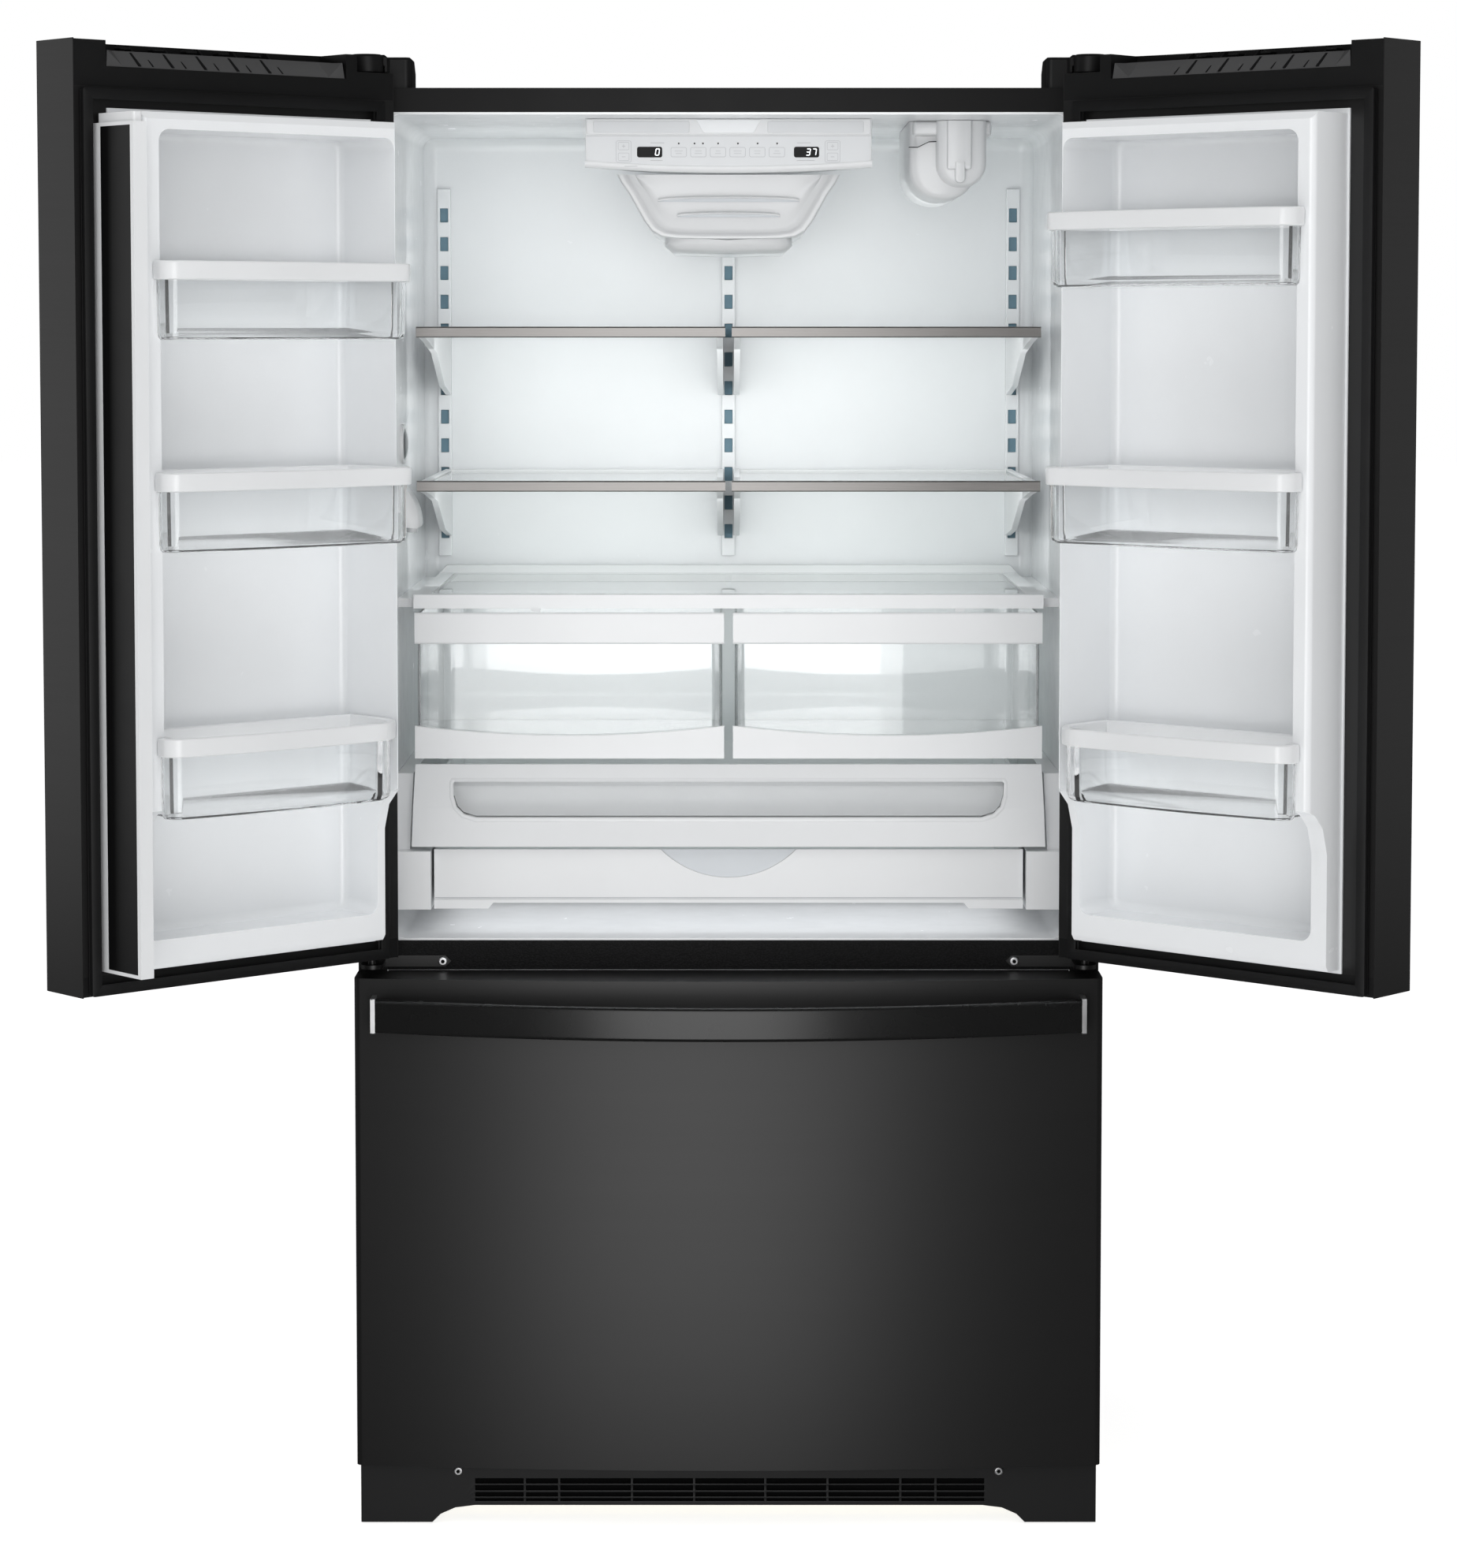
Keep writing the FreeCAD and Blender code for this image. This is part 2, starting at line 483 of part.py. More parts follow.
# ---- fresh food compartment ---------------------------------------------------------------------------------
def build_ceiling():
    side = [(90, FRESH_CEILING), (90, 1699), (96, 1662), (100, 1650), (230, 1650), (260, FRESH_CEILING)]
    housing = side_prism(side, (-176, 176))
    right = [(177, 1720), (177, 1665), (160, 1660), (90, 1655)]
    bow = [(-px, pz) for px, pz in right] + [(0, 1652)] + right[::-1]
    housing = housing.common(front_prism(bow, (80, 270)))
    keep("control_housing", housing)

    top = 1650.0
    right = [(139, top), (134, 1640), (124, 1626), (114, 1608), (105, 1592), (96, 1580), (84, 1573), (66, 1570)]
    bowl = [(-px, pz) for px, pz in right] + right[::-1]
    duct = front_prism(bowl, (150, 520))
    belly = front_prism([(-80, 1575), (-80, 1562), (-71, 1554), (71, 1554), (80, 1562), (80, 1575)], (161, 520))
    room = front_prism([(px * 0.96, top + 1 - (top - pz) * 0.96) for px, pz in bowl], (153, 517))
    belly_room = front_prism([(-77, 1578), (-77, 1563), (-70, 1557), (70, 1557), (77, 1563), (77, 1578)], (164, 517))
    roof = box((-139, 139), (262, 520), (top, FRESH_CEILING))
    duct = fuse([fuse([duct, belly]).cut(room).cut(belly_room), roof])
    for z, half in ((1614, 86), (1595, 64)):
        duct = duct.cut(box((-half, half), (148, 156), (z, z + 4)))
    keep("air_duct", duct)

    barrel = cylinder(38, (276, 122, 1672), (276, 430, 1672))
    barrel = barrel.makeFillet(7.0, [e for e in barrel.Edges if e.BoundBox.YMax < 122.1])
    saddle = rounded_box((226, 326), (150, 420), (1685, FRESH_CEILING), 4, "y")
    knob = rounded_box((270, 282), (112, 124), (1642, 1664), 2, "y")
    keep("filter_housing", fuse([barrel, saddle, knob]))


def build_ladders():
    strips = []
    for x in (-386, 0, 386):
        strip = box((x - 9, x + 9), (592, FRESH_BACK), (1150, 1648))
        for k in range(12):
            z = 1174 + k * 39
            strip = strip.cut(box((x - 5.5, x + 5.5), (588, 597), (z, z + 19)))
        strips.append(strip)
    keep("shelf_ladders", group(strips))


def build_shelves():
    panes, brackets, trims = [], [], []
    for top in SHELF_TOPS:
        pane = rounded_box((-380, -12), (130, 575), (top - 8, top - 4), 6, "z")
        trim = rounded_box((-387.8, -4), (120, 130), (top - 13.5, top), 2.0, "x")
        outline = [(130, top - 1), (130, top - 14), (200, top - 20), (330, top - 34), (470, top - 78)]
        outline += [(592, top - 92), (592, top - 1)]
        groove = box((-380, -12), (129, 575), (top - 8, top - 4))
        sides = [side_prism(outline, x) for x in ((-385, -377), (-15, -7))]
        back = box((-377, -15), (575, 583), (top - 12, top - 1))
        frame = fuse(sides + [back]).cut(groove)
        panes += [pane, mirrored(pane)]
        trims += [trim, mirrored(trim)]
        brackets += [frame, mirrored(frame)]

    frame = box((-392, 392), (112, 582), (1111, 1128))
    frame = frame.cut(box((-366, 366), (146, 560), (1105, 1140)))
    frame = fuse([frame, box((-4, 4), (146, 560), (1111, 1122))])
    ledges = [box((392, FRESH_HALF), (140, 580), (1111, 1122)), box((-FRESH_HALF, -392), (140, 580), (1111, 1122))]
    tabs = [rounded_box((x - 6, x + 6), (113, 119), (1107, 1112), 1.5, "y") for x in (-240, 288)]
    frame = fuse([frame] + ledges + tabs)
    frame = frame.cut(box((-372, 372), (140, 566), (1123, 1127)))
    frame = frame.cut(box((-372, 372), (140, 566), (1126.9, 1129)))
    keep("crisper_cover_frame", frame)
    panes.append(rounded_box((-372, 372), (140, 566), (1123, 1127), 4, "z"))
    keep("shelf_glass", group(panes))
    keep("shelf_brackets", group(brackets))
    keep("shelf_trims", group(trims))


def build_crispers():
    x = (-388, -8)
    tub = rounded_box(x, (116, 556), (926, 1104), 14, "z")
    room = rounded_box((x[0] + 3, x[1] - 3), (119, 553), (929, 1110), 11, "z")
    tub = tub.cut(room)
    top = rounded_box((-390.5, -5.5), (106, 116), (1067, 1106), 3, "x")
    curve = Part.Arc(V(-390.5, 106, 964.6), V(-199, 106, 952.4), V(-5.5, 106, 964.6)).toShape()
    corners = [V(-5.5, 106, 964.6), V(-5.5, 106, 924), V(-390.5, 106, 924), V(-390.5, 106, 964.6)]
    lower = Part.Face(Part.Wire([curve] + [Part.makeLine(a, b) for a, b in zip(corners, corners[1:])]))
    low = lower.extrude(V(0, 10, 0))
    front = group([top, low])
    for side in ("left", "right"):
        keep(f"{side}_crisper_tub", tub if side == "left" else mirrored(tub))
        keep(f"{side}_crisper_front", front if side == "left" else mirrored(front))


def build_pantry():
    pan = box((-363, 363), (46, 556), (752, 818))
    pan = fuse([pan, box((-363, 363), (140, 556), (818, 900))])
    room = fuse([box((-359, 359), (50, 552), (757, 830)), box((-359, 359), (144, 552), (757, 910))])
    arch = Part.Arc(V(-84, 40, 818.5), V(0, 40, 783), V(84, 40, 818.5)).toShape()
    notch = Part.Face(Part.Wire([arch, Part.makeLine(V(84, 40, 818.5), V(-84, 40, 818.5))])).extrude(V(0, 9, 0))
    right = [(290, 752), (296, 745), (363, 745), (363, 756)]
    foot = front_prism([(-px, pz) for px, pz in right[::-1]] + right, (42, 52))
    pan = fuse([pan.cut(room), foot]).cut(notch)
    keep("pantry_pan", pan)

    outline = [(112, 917), (112, 912), (78, 868), (46, 822), (38, 822), (62, 866), (96, 908), (104, 917)]
    right = [(342, 897), (340.5, 880), (336, 868), (327, 860), (312, 856)]
    pane = front_prism([(-px, pz) for px, pz in right] + right[::-1], (20, 140))
    keep("pantry_lid", side_prism(outline, (-390, 390)).cut(pane))
    slope = [(109, 913), (78, 872), (46, 828), (42, 828), (66, 866), (100, 908), (106, 913)]
    inner = side_prism(slope, (-390, 390))
    keep("pantry_window", inner.common(pane))

    low = box((366, FRESH_HALF), (32, 556), (745, 817))
    tall = side_prism([(52, 817), (112, 905), (556, 905), (556, 817)], (393, FRESH_HALF))
    keep("pantry_brackets", both_sides(fuse([low, tall])))


def build_dispenser():
    spout = rounded_box((-FRESH_HALF, -392), (180, 232), (1222, 1262), 6, "x")
    nozzle = cylinder(8, (-400, 206, 1200), (-400, 206, 1224))
    spout = fuse([spout, nozzle]).cut(cylinder(4, (-400, 206, 1190), (-400, 206, 1215)))
    bezel = box((-FRESH_HALF, -409), (184, 228), (1288, 1338)).cut(box((-FRESH_HALF - 1, -400), (190, 222), (1294, 1332)))
    button = rounded_box((-FRESH_HALF + 3, -405), (191, 221), (1295, 1331), 12, "x")
    keep("water_dispenser", group([spout, bezel]))
    keep("dispenser_button", button)


def main():
    build_case()
    build_base()
    build_machine()
    build_hinges()
    build_doors()
    build_freezer_drawer()
    build_ceiling()
    build_ladders()
    build_shelves()
    build_crispers()
    build_pantry()
    build_dispenser()
    os.makedirs("parts", exist_ok=True)
    for name, shape in sorted(PARTS.items()):
        shape.translate(V(0, -ORIGIN_Y, 0))
        shape.exportStep(f"parts/{name}.step")
        valid = shape.isValid() and all(s.isClosed() for s in shape.Shells)
        print(f"{name}: {len(shape.Solids)} solids, {shape.Volume / 1000:.1f} cm3, valid {valid}")
    whole = Part.makeCompound(list(PARTS.values())).BoundBox
    print(f"{len(PARTS)} nodes; X {whole.XMin:.1f} {whole.XMax:.1f}  Y {whole.YMin:.1f} {whole.YMax:.1f}  "
          f"Z {whole.ZMin:.1f} {whole.ZMax:.1f}")


main()
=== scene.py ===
"""Looks of a french door refrigerator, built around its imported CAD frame.

The scene is in metres, in the row frame: +X to the right, +Y to the rear, +Z up, the floor at Z = 0. Pieces
are drawn in millimetres from the middle plane, the front flange and the floor, and piece() converts them.
The CAD nodes stay where the frame puts them. They get bevelled edges and procedural materials here, and
pieces that the CAD only blocks out, such as gaskets, the control panel and the filter, are built in detail.
"""

import json
import math

import bmesh
import bpy
from mathutils import Matrix, Vector


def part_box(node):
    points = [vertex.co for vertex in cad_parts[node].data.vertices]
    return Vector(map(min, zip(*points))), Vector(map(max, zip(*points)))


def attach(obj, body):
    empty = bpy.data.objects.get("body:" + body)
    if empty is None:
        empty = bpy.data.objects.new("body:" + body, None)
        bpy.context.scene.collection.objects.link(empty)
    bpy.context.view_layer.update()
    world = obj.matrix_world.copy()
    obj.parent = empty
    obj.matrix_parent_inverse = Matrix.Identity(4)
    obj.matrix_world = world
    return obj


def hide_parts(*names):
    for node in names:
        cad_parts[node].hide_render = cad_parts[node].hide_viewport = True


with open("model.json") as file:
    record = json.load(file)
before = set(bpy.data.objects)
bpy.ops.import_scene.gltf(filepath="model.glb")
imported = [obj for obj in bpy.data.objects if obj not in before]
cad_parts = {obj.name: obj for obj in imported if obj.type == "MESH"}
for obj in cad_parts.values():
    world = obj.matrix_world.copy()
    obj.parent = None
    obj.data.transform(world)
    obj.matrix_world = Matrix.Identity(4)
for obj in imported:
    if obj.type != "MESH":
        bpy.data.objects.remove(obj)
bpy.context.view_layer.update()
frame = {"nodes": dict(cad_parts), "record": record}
nodes = frame["nodes"]

# ---- driving dimensions --------------------------------------------------------------------------
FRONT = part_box("outer_case")[0].y  # the plane of the front flange
HINGE = Vector((0.4325, FRONT - 0.038, 0.0))  # the right door's axis; the left one mirrors it
OPEN = math.radians(138.0)

# The rest are in millimetres, as in every piece below: x from the middle plane, y behind the flange, z up.
CEILING = 1715.5  # the fresh food liner's ceiling
LEFT_WALL = -413.0  # the liner's left wall, where the water dispenser is
CASE_BACK = 724.0  # the rear panel's outer face
DOOR_SEAL = ((-432.0, -10.0), (700.0, 1728.0))  # x and z of the left door's seal; the right one mirrors it
DRAWER_SEAL = ((-432.0, 432.0), (86.0, 672.0))
LADDER_X = (-386.0, 0.0, 386.0)
LADDER_SLOTS, SLOT_PITCH, FIRST_SLOT = 12, 39.0, 1174.0
PANEL_FACE = ((1699.0, 90.0), (1662.0, 96.0))  # (z, y) at the top and the bottom of the control face
PANEL_HALF, PANEL_COLUMNS = 176.0, 36
KEYS, FIRST_KEY, KEY_PITCH, KEY_WIDTH = 6, -71.0, 24.15, 19.6
RIBS, RIB_PITCH = 5, 45.0  # in the pocket of each door's top end cap
BINS = {  # (top, depth) of each door bin
    "left": ((1534.0, 89.0), (1296.0, 90.0), (997.0, 93.0)),
    "right": ((1594.0, 88.0), (1296.0, 90.0), (990.0, 87.0)),
}
BIN_SLIM_BELOW = 1100.0  # a bin under this height stands beside the crispers
BIN_NARROW, BIN_WIDE = (-398.0, -71.0), (-409.0, -60.0)  # a bin's ends inside the liner and over its dykes
BIN_BACK, BIN_FRONT, BIN_CROWN = -30.0, 97.0, 11.0
DYKE_FACE, BIN_WALL = 60.4, 3.0  # where a bin steps out over the dykes, and how thick its wall is


# ---- node helpers --------------------------------------------------------------------------------
class Nodes:
    """A small wrapper that makes a material's node tree readable."""

    def __init__(self, name):
        self.material = bpy.data.materials.new(name)
        self.material.use_nodes = True
        self.tree = self.material.node_tree
        self.tree.nodes.clear()
        self.output = self.add("ShaderNodeOutputMaterial")

    def add(self, kind, settings=None, **inputs):
        node = self.tree.nodes.new(kind)
        for key, value in (settings or {}).items():
            setattr(node, key, value)
        for key, value in inputs.items():
            self.put(node, key.replace("_", " "), value)
        return node

    def put(self, node, socket, value):
        target = node.inputs[socket]
        if isinstance(value, bpy.types.NodeSocket):
            self.tree.links.new(value, target)
        else:
            target.default_value = value

    def position(self, scale=(1, 1, 1)):
        coords = self.add("ShaderNodeTexCoord").outputs["Object"]
        mapping = self.add("ShaderNodeMapping")
        self.put(mapping, "Vector", coords)
        self.put(mapping, "Scale", scale)
        return mapping.outputs["Vector"]

    def noise(self, vector, scale, detail=3.0, roughness=0.55):
        node = self.add("ShaderNodeTexNoise", Scale=scale, Detail=detail, Roughness=roughness)
        self.put(node, "Vector", vector)
        return node.outputs["Fac"]

    def ramp(self, value, stops):
        node = self.add("ShaderNodeValToRGB")
        self.put(node, "Fac", value)
        elements = node.color_ramp.elements
        while len(elements) < len(stops):
            elements.new(0.5)
        for element, (place, colour) in zip(elements, stops):
            element.position = place
            element.color = (*colour, 1.0) if len(colour) == 3 else colour
        return node.outputs["Color"]

    def spread(self, value, low, high):
        node = self.add("ShaderNodeMapRange")
        self.put(node, "Value", value)
        self.put(node, "To Min", low)
        self.put(node, "To Max", high)
        return node.outputs["Result"]

    def bump(self, height, strength, distance, normal=None):
        node = self.add("ShaderNodeBump", Strength=strength, Distance=distance)
        self.put(node, "Height", height)
        if normal is not None:
            self.put(node, "Normal", normal)
        return node.outputs["Normal"]

    def shader(self, **inputs):
        node = self.add("ShaderNodeBsdfPrincipled")
        for key, value in inputs.items():
            self.put(node, key.replace("_", " "), value)
        self.tree.links.new(node.outputs["BSDF"], self.output.inputs["Surface"])
        return node


def plastic(name, colour, rough, mottling=0.03, grain=900.0, grain_depth=0.00004, coat=0.0, sss=0.0,
            gloss=0.5):
    """Moulded plastic: a faint cloudiness in its colour, a fine pebble and an uneven gloss."""
    n = Nodes(name)
    place = n.position()
    cloud = n.noise(place, 7.0, 4.0)
    dark = tuple(max(c * (1 - mottling), 0.0) for c in colour)
    light = tuple(min(c * (1 + mottling), 1.0) for c in colour)
    base = n.ramp(cloud, [(0.3, dark), (0.7, light)])
    roughness = n.spread(n.noise(place, 30.0), rough[0], rough[1])
    normal = n.bump(n.noise(place, grain, 2.0), 0.35, grain_depth)
    n.shader(Base_Color=base, Roughness=roughness, Normal=normal, Coat_Weight=coat, Coat_Roughness=0.12,
             Subsurface_Weight=sss, Subsurface_Radius=(0.01, 0.01, 0.01), Specular_IOR_Level=gloss)
    return n.material


def painted(name, colour, rough, peel=0.0, coat=0.0, brushed=0.0, gloss=0.5):
    """Painted sheet steel: faint orange peel in the coat, or very fine brushed lines under it."""
    n = Nodes(name)
    place = n.position()
    cloud = n.noise(place, 3.0, 4.0)
    base = n.ramp(cloud, [(0.25, tuple(c * 0.93 for c in colour)), (0.75, tuple(c * 1.07 for c in colour))])
    height = n.noise(place, 420.0, 2.0)
    normal = n.bump(height, 0.25, 0.00006 * peel) if peel else None
    streaks = None
    if brushed:
        streaks = n.noise(n.position((2.0, 2.0, 900.0)), 1.0, 3.0, 0.7)
        normal = n.bump(streaks, 0.3, 0.00003 * brushed, normal)
    roughness = n.spread(streaks if brushed else n.noise(place, 18.0), rough[0], rough[1])
    shader = n.shader(Base_Color=base, Roughness=roughness, Coat_Weight=coat, Coat_Roughness=0.2,
                      Specular_IOR_Level=gloss)
    if normal is not None:
        n.put(shader, "Normal", normal)
    return n.material


def metal(name, colour, rough, stretch=(1.0, 1.0, 1.0), scale=60.0, lines=0.0, anisotropic=0.0):
    """Bare metal with drawn-out brush lines, or polished with a trace of haze."""
    n = Nodes(name)
    grain = n.noise(n.position(stretch), scale, 4.0, 0.65)
    light = tuple(min(c * 1.08, 1.0) for c in colour)
    base = n.ramp(grain, [(0.2, tuple(c * 0.88 for c in colour)), (0.8, light)])
    roughness = n.spread(grain, rough[0], rough[1])
    normal = n.bump(grain, 0.2, lines)
    n.shader(Base_Color=base, Metallic=1.0, Roughness=roughness, Normal=normal, Anisotropic=anisotropic)
    return n.material


def clear(name, colour, rough, ior=1.49, haze=0.04, ripple=0.04):
    """Clear moulded plastic or glass: transmits, with a trace of haze that makes its edges read."""
    n = Nodes(name)
    place = n.position()
    tint = n.ramp(n.noise(place, 5.0), [(0.3, tuple(c * 0.985 for c in colour)), (0.7, colour)])
    roughness = n.spread(n.noise(place, 14.0), rough * 0.5, rough * 1.5)
    normal = n.bump(n.noise(place, 5.0, 1.0), ripple, 0.0004)
    body = n.shader(Base_Color=tint, Roughness=roughness, Normal=normal, IOR=ior,
                    Transmission_Weight=1.0 - haze)
    passing = n.add("ShaderNodeBsdfTransparent")
    n.put(passing, "Color", (*colour, 1.0))
    mix = n.add("ShaderNodeMixShader")
    n.tree.links.new(n.add("ShaderNodeLightPath").outputs["Is Shadow Ray"], mix.inputs[0])
    n.tree.links.new(body.outputs["BSDF"], mix.inputs[1])
    n.tree.links.new(passing.outputs["BSDF"], mix.inputs[2])
    n.tree.links.new(mix.outputs["Shader"], n.output.inputs["Surface"])
    return n.material


def grained(name, colour, rough, cells, depth):
    """Black moulding with a leather-like grain: cells with creases between them."""
    n = Nodes(name)
    place = n.position((1.0, 1.0, 1.6))
    cell = n.add("ShaderNodeTexVoronoi", {"feature": "SMOOTH_F1"}, Scale=cells, Smoothness=0.6)
    n.put(cell, "Vector", place)
    base = n.ramp(cell.outputs["Distance"], [(0.1, tuple(c * 2.6 for c in colour)), (0.6, colour)])
    roughness = n.spread(n.noise(place, 60.0), rough[0], rough[1])
    normal = n.bump(cell.outputs["Distance"], 0.6, depth)
    n.shader(Base_Color=base, Roughness=roughness, Normal=normal, Specular_IOR_Level=0.09)
    return n.material


def glow(name, colour, strength):
    """A lit display segment."""
    n = Nodes(name)
    tone = n.ramp(n.noise(n.position(), 60.0), [(0.2, tuple(c * 0.8 for c in colour)), (0.8, colour)])
    shader = n.shader(Roughness=0.4)
    n.put(shader, "Base Color", tone)
    n.put(shader, "Emission Color", tone)
    n.put(shader, "Emission Strength", strength)
    return n.material


# ---- materials -----------------------------------------------------------------------------------
MATERIALS = {
    "black_steel": painted("black_door_steel", (0.0075, 0.0073, 0.0074), (0.34, 0.42), brushed=1.0),
    "black_case": painted("black_case_paint", (0.006, 0.006, 0.0062), (0.34, 0.44), peel=1.0, gloss=0.18),
    "black_handle": painted("black_handle_paint", (0.006, 0.006, 0.006), (0.24, 0.3), peel=0.4, gloss=0.5),
    "grained_rail": grained("grained_black_rail", (0.004, 0.004, 0.0042), (0.45, 0.55), 420.0, 0.0005),
    "black_plastic": plastic("black_moulding", (0.006, 0.006, 0.0062), (0.38, 0.5), grain=1200.0, gloss=0.3),
    "mullion_black": plastic("black_mullion_face", (0.004, 0.004, 0.0042), (0.34, 0.4), grain=700.0,
                             gloss=0.3),
    "grey_grille": plastic("dark_grey_grille", (0.009, 0.009, 0.0094), (0.42, 0.52), grain=1200.0,
                           gloss=0.35),
    "black_gasket": plastic("black_gasket_vinyl", (0.005, 0.005, 0.0053), (0.5, 0.62), 0.2, 500.0, gloss=0.3),
    "white_liner": plastic("white_liner_plastic", (0.82, 0.835, 0.85), (0.2, 0.3), 0.015, 600.0, 0.00003,
                           0.25, 0.05),
    "white_plastic": plastic("white_moulding", (0.76, 0.77, 0.78), (0.26, 0.36), 0.015, 800.0, 0.00003,
                             0.15, 0.08),
    "panel_grey": plastic("panel_light_grey", (0.7, 0.715, 0.73), (0.3, 0.4), 0.015, 900.0),
    "slot_grey": plastic("ladder_light_grey", (0.63, 0.66, 0.69), (0.35, 0.45), 0.02, 900.0),
    "grey_plastic": plastic("mid_grey_moulding", (0.3, 0.31, 0.33), (0.32, 0.42), 0.05, 900.0),
    "print_grey": plastic("panel_print_grey", (0.5, 0.51, 0.53), (0.4, 0.5), 0.04, 1500.0),
    "print_light": plastic("panel_print_light", (0.6, 0.615, 0.63), (0.4, 0.5), 0.04, 1500.0),
    "display_black": plastic("display_window_black", (0.003, 0.003, 0.0035), (0.12, 0.18), 0.05, 1500.0,
                             0.00001, gloss=0.12),
    "display_digit": glow("display_digit_white", (0.95, 0.97, 1.0), 1.1),
    "light_lens": plastic("ceiling_light_lens", (0.86, 0.875, 0.89), (0.2, 0.28), 0.02, 300.0, 0.0002,
                          sss=0.1),
    "paddle_grey": metal("satin_grey_paddle", (0.34, 0.345, 0.35), (0.3, 0.4), scale=120.0),
    "dark_slot": plastic("dark_recess", (0.02, 0.02, 0.022), (0.6, 0.7)),
    "clear_plastic": clear("clear_bin_plastic", (0.985, 0.992, 0.995), 0.02, haze=0.03),
    "shelf_glass": clear("tempered_glass", (0.94, 0.98, 0.97), 0.015, 1.52, 0.015, 0.02),
    "brushed_trim": metal("brushed_shelf_trim", (0.27, 0.26, 0.252), (0.24, 0.36), (1.0, 60.0, 60.0), 14.0,
                          0.00004, 0.4),
    "chrome_cap": metal("polished_chrome", (0.92, 0.92, 0.93), (0.26, 0.34), scale=40.0),
    "zinc_steel": metal("bright_zinc", (0.88, 0.88, 0.89), (0.3, 0.42), scale=300.0, lines=0.00003),
    # painted light: the black cap plastic drawn lighter grey where the pocket's slope catches the light
    "cap_insert_painted_light": plastic("dark_grey_cap_insert", (0.062, 0.062, 0.063), (0.4, 0.5), 0.06, 700.0, gloss=0.3),
    # painted shade: a near-black that stands in for the shade inside openings and recesses
    "painted_shade_black": plastic("painted_shade_black", (0.0016, 0.0016, 0.0017), (0.7, 0.8), 0.2, 300.0, gloss=0.08),
    "slot_shade_blue": plastic("ladder_slot_shade", (0.15, 0.25, 0.31), (0.45, 0.6), 0.08, 400.0, gloss=0.2),
    "galvanised": metal("galvanised_sheet", (0.5, 0.51, 0.52), (0.4, 0.55), scale=40.0, lines=0.00005),
    "aluminium_fin": metal("mill_aluminium", (0.75, 0.76, 0.77), (0.3, 0.45), (1, 40, 1), 20.0),
    "black_compressor": painted("black_compressor_enamel", (0.02, 0.02, 0.02), (0.3, 0.4), peel=2.0,
                                coat=0.4),
    "foam": plastic("cream_foam", (0.75, 0.68, 0.42), (0.85, 0.95), 0.12, 260.0, 0.0008),
}

NODE_MATERIAL = {
    "centre_rail": "grained_rail",
    "mullion_face": "mullion_black",
    "shelf_ladders": "white_liner",
}


def material_for(node_name):
    """The looks of a CAD node: its own entry, or that of its slot in the record."""
    slots = {part["node"]: part["material_slot"] for part in frame["record"]["subparts"]}
    return MATERIALS[NODE_MATERIAL.get(node_name, slots[node_name])]


def dress_nodes():
    """Give every CAD node its material, and soften the hard edges of the visible ones."""
    for name, node in nodes.items():
        node.data.materials.clear()
        node.data.materials.append(material_for(name))
        weld = node.modifiers.new("weld", "WELD")
        weld.merge_threshold = 0.00002
        bevel = node.modifiers.new("edge", "BEVEL")
        bevel.limit_method = "ANGLE"
        bevel.angle_limit = math.radians(38)
        bevel.width = 0.0007
        bevel.segments = 2
        bevel.use_clamp_overlap = True
        node.modifiers.new("shade", "WEIGHTED_NORMAL")


# ---- mesh helpers --------------------------------------------------------------------------------
MM = 0.001


def cabinet_point(x, y, z):
    """A point given in millimetres from the front flange, the middle plane and the floor."""
    return Vector((x * MM, FRONT + y * MM, z * MM))


def door_matrix(side):
    """Takes the closed left door, in the row frame, to where that side's open door rests."""
    axis = Vector((-HINGE.x, HINGE.y, 0.0))
    swing = Matrix.Translation(axis) @ Matrix.Rotation(-OPEN, 4, "Z") @ Matrix.Translation(-axis)
    return Matrix.Scale(-1, 4, (1, 0, 0)) @ swing if side == "right" else swing


def piece(name, bm, material, body, matrix=None, smooth=40.0, bevel=0.0, slot=None):
    """Turn a bmesh, in millimetres from the flange, into a finished object that rides on a body."""
    bmesh.ops.remove_doubles(bm, verts=bm.verts, dist=1e-4)
    bmesh.ops.recalc_face_normals(bm, faces=bm.faces)
    for vertex in bm.verts:
        vertex.co = cabinet_point(*vertex.co)
    if matrix is not None:
        bm.transform(matrix)
        if matrix.determinant() < 0:
            bmesh.ops.reverse_faces(bm, faces=bm.faces)
    mesh = bpy.data.meshes.new(name)
    bm.to_mesh(mesh)
    bm.free()
    mesh.shade_smooth()
    mesh.set_sharp_from_angle(angle=math.radians(smooth))
    made = bpy.data.objects.new(name, mesh)
    bpy.context.scene.collection.objects.link(made)
    mesh.materials.append(MATERIALS[material])
    if bevel:
        edge = made.modifiers.new("edge", "BEVEL")
        edge.width, edge.segments, edge.limit_method = bevel * MM, 2, "ANGLE"
        edge.angle_limit = math.radians(35)
        edge.harden_normals = True
    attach(made, body)
    return made


def rounded_loop(x, z, radius, steps=6):
    """Points round a rectangle with round corners, as (x, z) pairs, always 4 * (steps + 1) of them."""
    points = []
    radius = max(radius, 0.01)
    corners = [(x[1] - radius, z[1] - radius, 0), (x[0] + radius, z[1] - radius, 90),
               (x[0] + radius, z[0] + radius, 180), (x[1] - radius, z[0] + radius, 270)]
    for cx, cz, start in corners:
        for k in range(steps + 1):
            a = math.radians(start + 90.0 * k / steps)
            points.append((cx + radius * math.cos(a), cz + radius * math.sin(a)))
    return points


def inset_loop(x, z, inset, radius, steps):
    """The same, drawn inwards on every side."""
    return rounded_loop((x[0] + inset, x[1] - inset), (z[0] + inset, z[1] - inset), radius, steps)


def loft(bm, loops, cap=(False, False), closed=True):
    """Skin a list of point loops that all have the same length."""
    rows = [[bm.verts.new(p) for p in loop] for loop in loops]
    count = len(rows[0])
    for low, high in zip(rows, rows[1:]):
        for k in range(count if closed else count - 1):
            n = (k + 1) % count
            bm.faces.new((low[k], low[n], high[n], high[k]))
    for wanted, row in zip(cap, (rows[0], rows[-1])):
        if wanted:
            bm.faces.new(row)
    return rows


